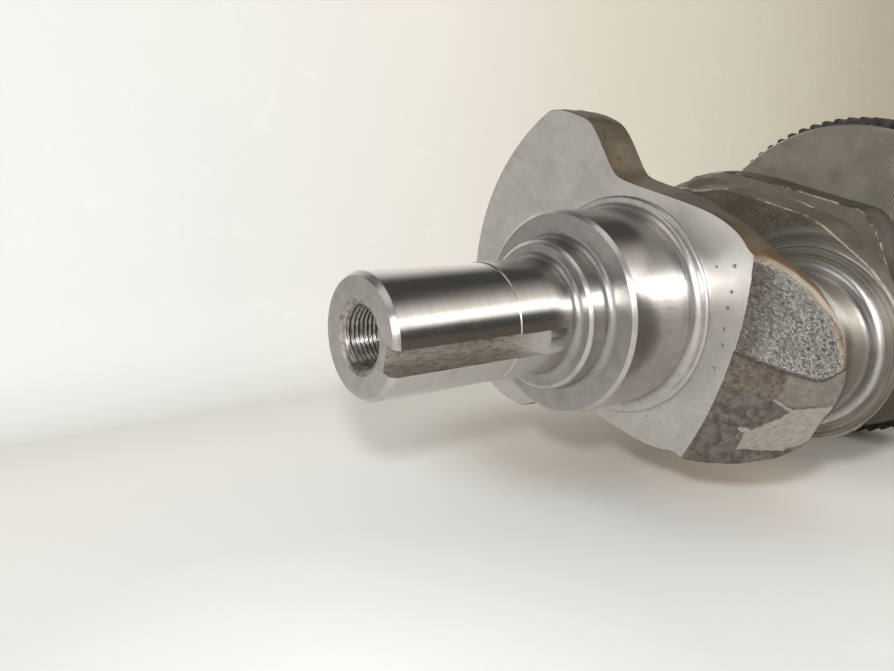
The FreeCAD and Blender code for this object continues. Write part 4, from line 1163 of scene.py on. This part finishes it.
# ---------------------------------------------------------------- toothed ring
def gear_steel():
    x, y, z, point = begin_crank_material("ring_gear_steel")
    radius = radius_of(y, z)
    blot = noise_map(point, scale=0.25, detail=5.0, rough=0.6)
    grain = noise_map(point, scale=2.0, detail=4.0, rough=0.65, seed=2.0)
    hobbing = noise_map(vec(x * 0.5, angle_of(y, z) * 60.0, radius * 4.0),
                        rough=0.6, seed=4.0)
    tips = radius.step(56.9, 57.3)
    colour = layered((0.026, 0.022, 0.019),
                     ((0.060, 0.053, 0.045), blot.step(0.35, 0.68)),
                     ((0.085, 0.076, 0.063), grain.step(0.58, 0.74) * 0.5),
                     ((0.10, 0.092, 0.080), tips * 0.30))
    return end_material(colour=colour, metallic=0.15, roughness=grain * 0.2 + 0.42,
                        height=hobbing * 0.7 + grain * 0.5, depth=0.03,
                        **{"Specular IOR Level": 0.25})


TEETH, TIP_R, ROOT_R = 80, 57.4, 54.25
# One flank from root to tip: (radius, half width as a share of the half pitch)
TOOTH_FLANK = [(ROOT_R, 0.80), (ROOT_R + 0.25, 0.70), (55.2, 0.60), (56.0, 0.52),
               (56.8, 0.40), (TIP_R - 0.12, 0.33), (TIP_R, 0.28)]


def toothed_ring():
    tooth = [(radius, -share) for radius, share in TOOTH_FLANK] + TOOTH_FLANK[::-1]
    rim = []
    for k in range(TEETH):
        middle = 2 * math.pi * (k + 0.5) / TEETH        # a gap sits at angle 0
        for radius, share in tooth:
            a = middle + share * (math.pi / TEETH)
            rim.append((radius * math.sin(a), radius * math.cos(a)))
    rim = rim[::-1]
    front, rear = (corner.x * 1000 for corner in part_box("gear_ring"))
    bevel = 0.45
    # (x, how much the tips are cut back)
    levels = [(front, bevel), (front + bevel, 0.0)]
    levels += [(front + bevel + (rear - front - 0.9) * i / 4, 0.0) for i in range(1, 4)]
    levels += [(rear - bevel, 0.0), (rear, bevel)]
    verts = []
    for x, cut in levels:
        for y, z in rim:
            radius = math.hypot(y, z)
            keep = min(radius, TIP_R - cut) / radius
            verts.append((x, y * keep, z * keep))
    slots = [gear_steel()]
    faces = layered_faces(len(rim), len(levels))
    ring = to_object("gear_ring_teeth", verts, faces, [0] * len(faces), slots)
    seat, wide = SEAT_R + CLEARANCE, SEAT_R + 1.6
    boolean(ring, lathe("cut_ring", band(0, (front - 1, 0), (front - 1, wide),
                                         (front + 0.6, seat), (rear - 0.6, seat),
                                         (rear + 1, wide), (rear + 1, 0)),
                        segments=192, slots=slots))
    boolean(ring, timing_hole("cut_ring_pin"))
    # the drill brought the forging's slots with it
    ring.data.materials.clear()
    ring.data.materials.append(slots[0])
    for polygon in ring.data.polygons:
        polygon.material_index = 0
    finish_piece(ring, 28.0, "gear_ring")


toothed_ring()


# ---------------------------------------------------------------- small pieces
def plain_metal(name, base, dark, metallic=1.0, rough=0.2, depth=0.008, ring_lines=True):
    x, y, z, point = begin_crank_material(name)
    blot = noise_map(point, scale=0.5, detail=5.0, rough=0.6)
    fine = noise_map(point, scale=4.0, rough=0.6, seed=1.0)
    lines = fine
    if ring_lines:
        radius = radius_of(y, z)
        lines = noise_map(vec(x * 8.0, angle_of(y, z), radius * 8.0), rough=0.6, seed=2.0)
    colour = layered(base, (dark, blot.step(0.42, 0.74) * 0.7),
                     (dark, fine.step(0.60, 0.78) * 0.5))
    return end_material(colour=colour, metallic=metallic,
                        roughness=(lines - 0.5) * 0.12 + blot * 0.08 + rough,
                        height=lines * 0.6 + fine * 0.4, depth=depth)


def seal_rubber():
    x, y, z, point = begin_crank_material("seal_nitrile")
    radius = radius_of(y, z)
    blot = noise_map(point, scale=1.2, detail=5.0, rough=0.65)
    lines = noise_map(vec(radius * 4.0, angle_of(y, z) * 2.0, 0.0), rough=0.6)
    return end_material(
        colour=mix((0.014, 0.013, 0.013), (0.040, 0.037, 0.034), blot.step(0.4, 0.7)),
        roughness=blot * 0.2 + 0.45, height=lines * 0.5 + blot * 0.5, depth=0.02)


PIN = [plain_metal("hardened_pin", base=(0.56, 0.55, 0.53), dark=(0.33, 0.31, 0.28))]
RACE = [plain_metal("bearing_ring_steel", base=(0.68, 0.68, 0.67), dark=(0.50, 0.49, 0.47),
                    rough=0.12)]
BALL = plain_metal("ball_mirror_steel", base=(0.74, 0.74, 0.75), dark=(0.62, 0.62, 0.62),
                   rough=0.05, depth=0.002, ring_lines=False)
CAGE = plain_metal("pressed_cage_steel", base=(0.50, 0.48, 0.44), dark=(0.34, 0.31, 0.27),
                   rough=0.3, ring_lines=False)
PLUG = [plain_metal("black_oxide_plug", base=(0.055, 0.052, 0.050),
                    dark=(0.115, 0.105, 0.095), metallic=0.7, rough=0.32,
                    ring_lines=False)]
SEAL = [seal_rubber()]

# (x from the flange's rear face, radius)
DOWEL_PROFILE = [(-8.0, 0), (-8.0, 3.4), (-7.4, DOWEL_R), (-0.3, DOWEL_R), (-0.25, 3.7),
                 (0.25, 3.7), (0.3, DOWEL_R), (7.3, DOWEL_R), (7.5, 3.9), (7.85, 3.55),
                 (8.0, 3.2), (8.0, 0.8), (7.7, 0.0)]
# (x from the front of the last main journal, radius)
TIMING_PROFILE = [(-10.0, 0), (-10.0, 1.6), (-9.6, TIMING_R), (-0.7, TIMING_R),
                  (-0.35, 1.75), (-0.2, 1.4), (-0.2, 0.4), (-0.35, 0)]


def shifted(origin, profile):
    return [(origin + x, radius) for x, radius in profile]


def pins():
    dowel = lathe("flywheel_dowel_pin", band(0, *shifted(X_FLANGE_REAR, DOWEL_PROFILE)),
                  segments=96, slots=PIN, centre_y=BOLT_R)
    finish_piece(dowel, 25.0, "flywheel_dowel")
    timing = lathe("gear_ring_timing_pin", band(0, *shifted(X_MAIN3, TIMING_PROFILE)),
                   SEAT_R, 64, PIN)
    finish_piece(timing, 25.0, "gear_ring_pin")


def oil_plug(bore):
    """Headless screwed plug: chamfered, threaded rim, hexagon socket."""
    name = bore.node + "_screw"
    centre = bore.foot + bore.way * bore.reach
    profile = [(-PLUG_HALF, 0.0), (-PLUG_HALF, 3.3), (-2.5, 3.95)]
    for i in range(7):
        start = -2.4 + 0.75 * i
        profile += [(start, 3.98), (start + 0.25, 3.98), (start + 0.5, 3.62)]
    profile += [(2.55, 3.9), (2.95, 3.45), (PLUG_HALF, 3.35), (PLUG_HALF, 0.0)]
    verts, rows = revolve(centre, bore.way, profile, 72)
    faces, bands = skin(rows, [0] * len(rows))
    plug = to_object(name, verts, faces, bands, PLUG)
    verts, rows = revolve(centre, bore.way,
                          [(0.0, 2.25), (2.55, 2.31), (3.3, 2.95), (-0.6, 0.0)], 6)
    walls, _ = skin(rows[:3], [0] * 2)
    faces = [(k, (k + 1) % 6, rows[3][0]) for k in range(6)] + walls + [tuple(rows[2])]
    boolean(plug, to_object(name + "_hex", verts, faces, [0] * len(faces), PLUG))
    finish_piece(plug, 30.0, bore.node)


# Pilot bearing: rings and seals are turned here, balls and cage are the CAD's own.
X_BEARING = X_FLANGE_REAR - 9.0
BEARING_MID, BALL_TRACK_R, GROOVE_R, INNER_LAND_R = 5.5, 12.5, 3.03, 10.85
# (x from the bearing's front face, radius), each ring in two runs joined by its ball groove
OUTER_RUNS = ([(0.0, 15.65), (0.0, 16.9), (0.15, 17.25), (0.6, 17.48), (10.4, 17.48),
               (10.85, 17.25), (11.0, 16.9), (11.0, 15.75), (10.9, 15.62), (9.4, 15.62),
               (9.4, 14.8), (9.3, 14.7)],
              [(1.7, 14.7), (1.6, 14.8), (1.6, 15.62), (0.1, 15.62)])
INNER_RUNS = ([(0.0, 8.1), (0.0, 10.55), (0.12, 10.75), (0.4, INNER_LAND_R)],
              [(10.6, INNER_LAND_R), (10.88, 10.75), (11.0, 10.55), (11.0, 8.1),
               (10.85, 7.75), (10.45, 7.5), (0.55, 7.5), (0.15, 7.75)])
# (distance inwards from the seal's outer face, radius)
SEAL_PROFILE = [(0.0, 15.1), (0.10, 15.45), (0.35, 15.58), (1.2, 15.58), (1.2, 11.6),
                (0.9, 11.25), (0.62, 10.99), (0.42, 10.99), (0.30, 11.3), (0.32, 11.9),
                (0.12, 12.15), (0.10, 14.55), (0.32, 14.7), (0.10, 14.85)]


def race_profile(runs, side, start, end, steps):
    """side is +1 for a groove outside the balls, -1 for one inside; angles in radians."""
    groove = [(X_BEARING + BEARING_MID + GROOVE_R * math.sin(a),
               BALL_TRACK_R + side * GROOVE_R * math.cos(a))
              for a in np.linspace(start, end, steps)]
    return shifted(X_BEARING, runs[0]) + groove + shifted(X_BEARING, runs[1])


def pilot_bearing():
    outer = race_profile(OUTER_RUNS, 1, math.radians(42.0), math.radians(-42.0), 15)
    finish_piece(tube("pilot_outer_race", outer, RACE), 28.0,
                 "pilot_outer_ring")
    half = math.acos((BALL_TRACK_R - INNER_LAND_R) / GROOVE_R)
    inner = race_profile(INNER_RUNS, -1, -half, half, 17)
    finish_piece(tube("pilot_inner_race", inner, RACE), 28.0,
                 "pilot_inner_ring", body="pilot_inner")
    for node, x_face, sign in (("pilot_seal_front", X_BEARING + 0.4, 1),
                               ("pilot_seal_rear", X_BEARING + 10.6, -1)):
        profile = [(x_face + sign * inwards, radius) for inwards, radius in SEAL_PROFILE]
        finish_piece(tube(node + "_lip", profile, SEAL), 35.0, node)
    for node, material in (("pilot_balls", BALL), ("pilot_cage_front", CAGE),
                           ("pilot_cage_rear", CAGE), ("pilot_cage_rivets", CAGE)):
        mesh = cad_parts[node].data
        mesh.materials.clear()
        mesh.materials.append(material)
        if node == "pilot_balls":
            mesh.shade_smooth()


pins()
for bore in OIL_BORES:
    oil_plug(bore)
pilot_bearing()

# ---------------------------------------------------------------- stage, metres
FLOOR_Z = CAD_LO.z - 0.0002
FOLD_Y, FOLD_R = 0.165, 0.045                   # where the paper turns up, and its bend

# Paper colours with painted light falloff, the wall darker towards +x and the floor dimmer away
# from the snout's end: (position along the ramp, colour)
WALL_STOPS_PAINTED_FALLOFF = [(0.0, (0.700, 0.715, 0.705)), (0.16, (0.700, 0.712, 0.695)),
              (0.28, (0.755, 0.732, 0.680)), (0.40, (0.690, 0.662, 0.575)),
              (0.56, (0.632, 0.596, 0.505)), (0.74, (0.505, 0.468, 0.380)),
              (1.0, (0.38, 0.347, 0.276))]
GROUND_STOPS_PAINTED_FALLOFF = [(0.0, (0.905, 0.915, 0.915)), (0.14, (0.765, 0.772, 0.768)),
                (0.26, (0.800, 0.800, 0.780)), (0.5, (0.790, 0.775, 0.733)),
                (1.0, (0.70, 0.675, 0.615))]


def pale_paper():
    """Paper seen from its face only; from behind it is clear."""
    point = begin_material("pale_paper")
    x, y, _ = split(point)
    cloud = noise_map(point, scale=7.0, detail=4.0, rough=0.6)
    fibres = noise_map(point, scale=60.0, detail=5.0, rough=0.7, seed=4.0)
    fine = noise_map(point, scale=420.0, rough=0.6, seed=1.0)

    def distance(centre_x, centre_y):
        """Distance over the floor from a place with x above 0."""
        return ((x - centre_x) * (x - centre_x) + (y + centre_y) * (y + centre_y)).sqrt()

    # painted shade: the wall darkens towards +x
    wall = colour_ramp((x + 0.2) / 1.1, WALL_STOPS_PAINTED_FALLOFF)
    # painted light: the floor is brightest round a spot off the snout's end and dims further out
    near = ((x + 0.09) * (x + 0.09) + (y + 0.03) * (y + 0.03)).sqrt()
    ground = colour_ramp(near / 0.5, GROUND_STOPS_PAINTED_FALLOFF)
    # painted shadow: a warm dark patch on the floor beneath the crank
    painted_shadow_under = ((x - 0.050) * (x - 0.050) + (y - 0.048) * (y - 0.048)).sqrt().step(0.070, 0.022)
    ground = mix(ground, (0.560, 0.525, 0.455), painted_shadow_under * 0.90)
    reflected = Field(add_node("ShaderNodeLightPath").outputs["Is Glossy Ray"])
    # what lies beyond the near right edge of the paper only shows in reflections
    beyond = (x * 0.80 - y * 0.60).step(0.018, 0.105)
    colour = layered(ground,
                     (wall, y.step(0.10, 0.20)),
                     ((0.80, 0.775, 0.71), cloud.step(0.45, 0.75) * 0.16),
                     ((0.985, 0.98, 0.95), fibres.step(0.55, 0.75) * 0.12),
                     ((0.13, 0.118, 0.102), beyond * reflected),
                     # the rest of the paper, seen only in reflections, is dimmer: a painted
                     # reflection
                     ((0.66, 0.64, 0.60), reflected * (1.0 - beyond) * 0.55))
    # painted light: glowing amber and cream patches on the floor beside the crank stand in for
    # light thrown off it
    amber_painted_glow = distance(0.060, 0.016).step(0.048, 0.004)
    cream = distance(0.078, 0.044).step(0.040, 0.004)
    material = end_material(
        colour=colour, roughness=0.9, height=fine, depth=0.02,
        **{"Specular IOR Level": 0.1,
           "Emission Color": mix((1.0, 0.60, 0.22), (1.0, 0.95, 0.86), cream),
           "Emission Strength": amber_painted_glow * 0.085 + cream * 0.07})
    facing = add_node("ShaderNodeNewGeometry").outputs["Backfacing"]
    clear = add_node("ShaderNodeBsdfTransparent")
    choice = add_node("ShaderNodeMixShader")
    sources = (facing, Field.shader.outputs[0], clear.outputs[0])
    for socket, source in zip(choice.inputs, sources):
        Field.tree.links.new(source, socket)
    output = next(node for node in Field.tree.nodes
                  if node.bl_idname == "ShaderNodeOutputMaterial")
    Field.tree.links.new(choice.outputs[0], output.inputs[0])
    return material


PAPER = pale_paper()


def sheet(name, rows):
    """Paper through (y, z) rows."""
    left, right, columns = -1.6, 2.6, 24
    width = columns + 1
    verts = [(left + (right - left) * k / columns, y, z) for y, z in rows
             for k in range(width)]
    faces = [(i * width + k, i * width + k + 1, (i + 1) * width + k + 1, (i + 1) * width + k)
             for i in range(len(rows) - 1) for k in range(columns)]
    mesh = bpy.data.meshes.new(name)
    mesh.from_pydata(verts, [], faces)
    mesh.materials.append(PAPER)
    mesh.shade_smooth()
    piece = bpy.data.objects.new(name, mesh)
    bpy.context.scene.collection.objects.link(piece)
    return piece


sheet("floor", [(-1.4, FLOOR_Z), (-0.5, FLOOR_Z), (0.0, FLOOR_Z), (FOLD_Y, FLOOR_Z)])
bend = [(FOLD_Y + FOLD_R * math.sin(a), FLOOR_Z + FOLD_R * (1 - math.cos(a)))
        for a in np.linspace(0.1, math.pi / 2, 14)]
backdrop = sheet("backdrop", [(FOLD_Y, FLOOR_Z), *bend, (FOLD_Y + FOLD_R, 1.6)])
backdrop.visible_glossy = False
backdrop.visible_diffuse = False
backdrop.visible_shadow = False


# ---------------------------------------------------------------- world
def studio():
    """An even pale room, with bright areas that only reflections see.
    Azimuth runs from +Y towards +X; both angles are in degrees."""
    world = bpy.data.worlds.new("studio")
    bpy.context.scene.world = world
    world.use_nodes = True
    Field.tree = world.node_tree
    Field.tree.nodes.clear()
    output = add_node("ShaderNodeOutputWorld")
    background = add_node("ShaderNodeBackground")
    Field.tree.links.new(background.outputs[0], output.inputs[0])
    x, y, z = split(Field(add_node("ShaderNodeTexCoord").outputs["Generated"]))
    azimuth = angle_of(x, y) * (180.0 / math.pi)
    height = Field.math("ARCSINE", z) * (180.0 / math.pi)
    side = (azimuth.step(85.0, 108.0) * azimuth.step(179.0, 162.0)
            * (azimuth.step(100.0, 136.0) * 0.45 + 0.62))
    core = height.step(14.0, 19.0) * height.step(32.0, 25.0) * side
    cream = height.step(10.0, 17.0) * height.step(56.0, 24.0) * side
    back = azimuth.step(66.0, 38.0) * azimuth.step(-34.0, 4.0) * height.step(70.0, 24.0)
    left = (azimuth.step(-16.0, -34.0) * height.step(27.0, 8.0)
            + azimuth.step(152.0, 175.0) * height.step(70.0, 24.0))
    window = (azimuth.step(-50.0, -64.0) * azimuth.step(-140.0, -118.0)
              * height.step(-14.0, -6.0) * height.step(24.0, 7.0))
    high = (azimuth.step(-64.0, -80.0) * azimuth.step(-160.0, -130.0)
            * height.step(40.0, 50.0) * height.step(84.0, 74.0))
    over = height.step(58.0, 85.0)
    glow = (azimuth.step(42.0, 54.0) * azimuth.step(96.0, 82.0)
            * height.step(8.0, 15.0) * height.step(32.0, 20.0))
    brightness = (0.075 + core * 0.85 + cream * 1.20 + back * 0.95 + left * 0.46
                  + window * 1.22 + over * 0.22 + glow * 0.50 + high * 1.05)
    tint = layered((1.0, 0.965, 0.915),
                   ((1.0, 0.95, 0.86), cream * (1.0 - core)),
                   ((1.0, 0.99, 0.975), core))
    reflected = Field(add_node("ShaderNodeLightPath").outputs["Is Glossy Ray"])
    feed(background.inputs[0],
         mix((0.765, 0.735, 0.685), scale_vec(tint, brightness), reflected))


studio()

# ---------------------------------------------------------------- camera and light
CAM = Vector((X_SNOUT * MM - 0.080962, -0.135562, 0.028280))
RIGHT = Vector((0.79245, -0.60993, 0.0))
UP = Vector((0.10652, 0.13839, 0.98463))
FORWARD = Vector((0.60056, 0.78027, -0.17464))


def add_camera():
    data = bpy.data.cameras.new("camera")
    camera = bpy.data.objects.new("camera", data)
    bpy.context.scene.collection.objects.link(camera)
    bpy.context.scene.camera = camera
    placing = Matrix((RIGHT, UP, -FORWARD)).transposed().to_4x4()
    placing.translation = CAM
    camera.matrix_world = placing
    data.sensor_width = 36.0
    data.lens = 30.6950336
    data.shift_x = 6.71141e-5
    data.shift_y = -1.677852e-4
    data.clip_start = 0.005
    data.clip_end = 20.0


def add_key_light():
    """A small light just above the lens that doesn't weaken with distance."""
    data = bpy.data.lights.new("key_above_lens", "POINT")
    data.energy = 1.0
    data.color = (0.985, 1.0, 1.03)
    data.shadow_soft_size = 0.008
    lamp = bpy.data.objects.new("key_above_lens", data)
    bpy.context.scene.collection.objects.link(lamp)
    place = CAM + UP * 0.030 - RIGHT * 0.008
    lamp.location = place
    lamp.rotation_mode = "QUATERNION"
    lamp.rotation_quaternion = (Vector((0.03, 0, 0)) - place).to_track_quat("-Z", "Y")
    data.use_nodes = True
    Field.tree = data.node_tree
    Field.tree.nodes.clear()
    output = add_node("ShaderNodeOutputLight")
    emission = add_node("ShaderNodeEmission")
    falloff = add_node("ShaderNodeLightFalloff")
    feed(falloff.inputs["Strength"], 24.0)
    Field.tree.links.new(falloff.outputs["Constant"], emission.inputs["Strength"])
    Field.tree.links.new(emission.outputs[0], output.inputs[0])


add_camera()
add_key_light()
bpy.context.scene.view_settings.view_transform = "Standard"
bpy.context.scene.view_settings.look = "None"
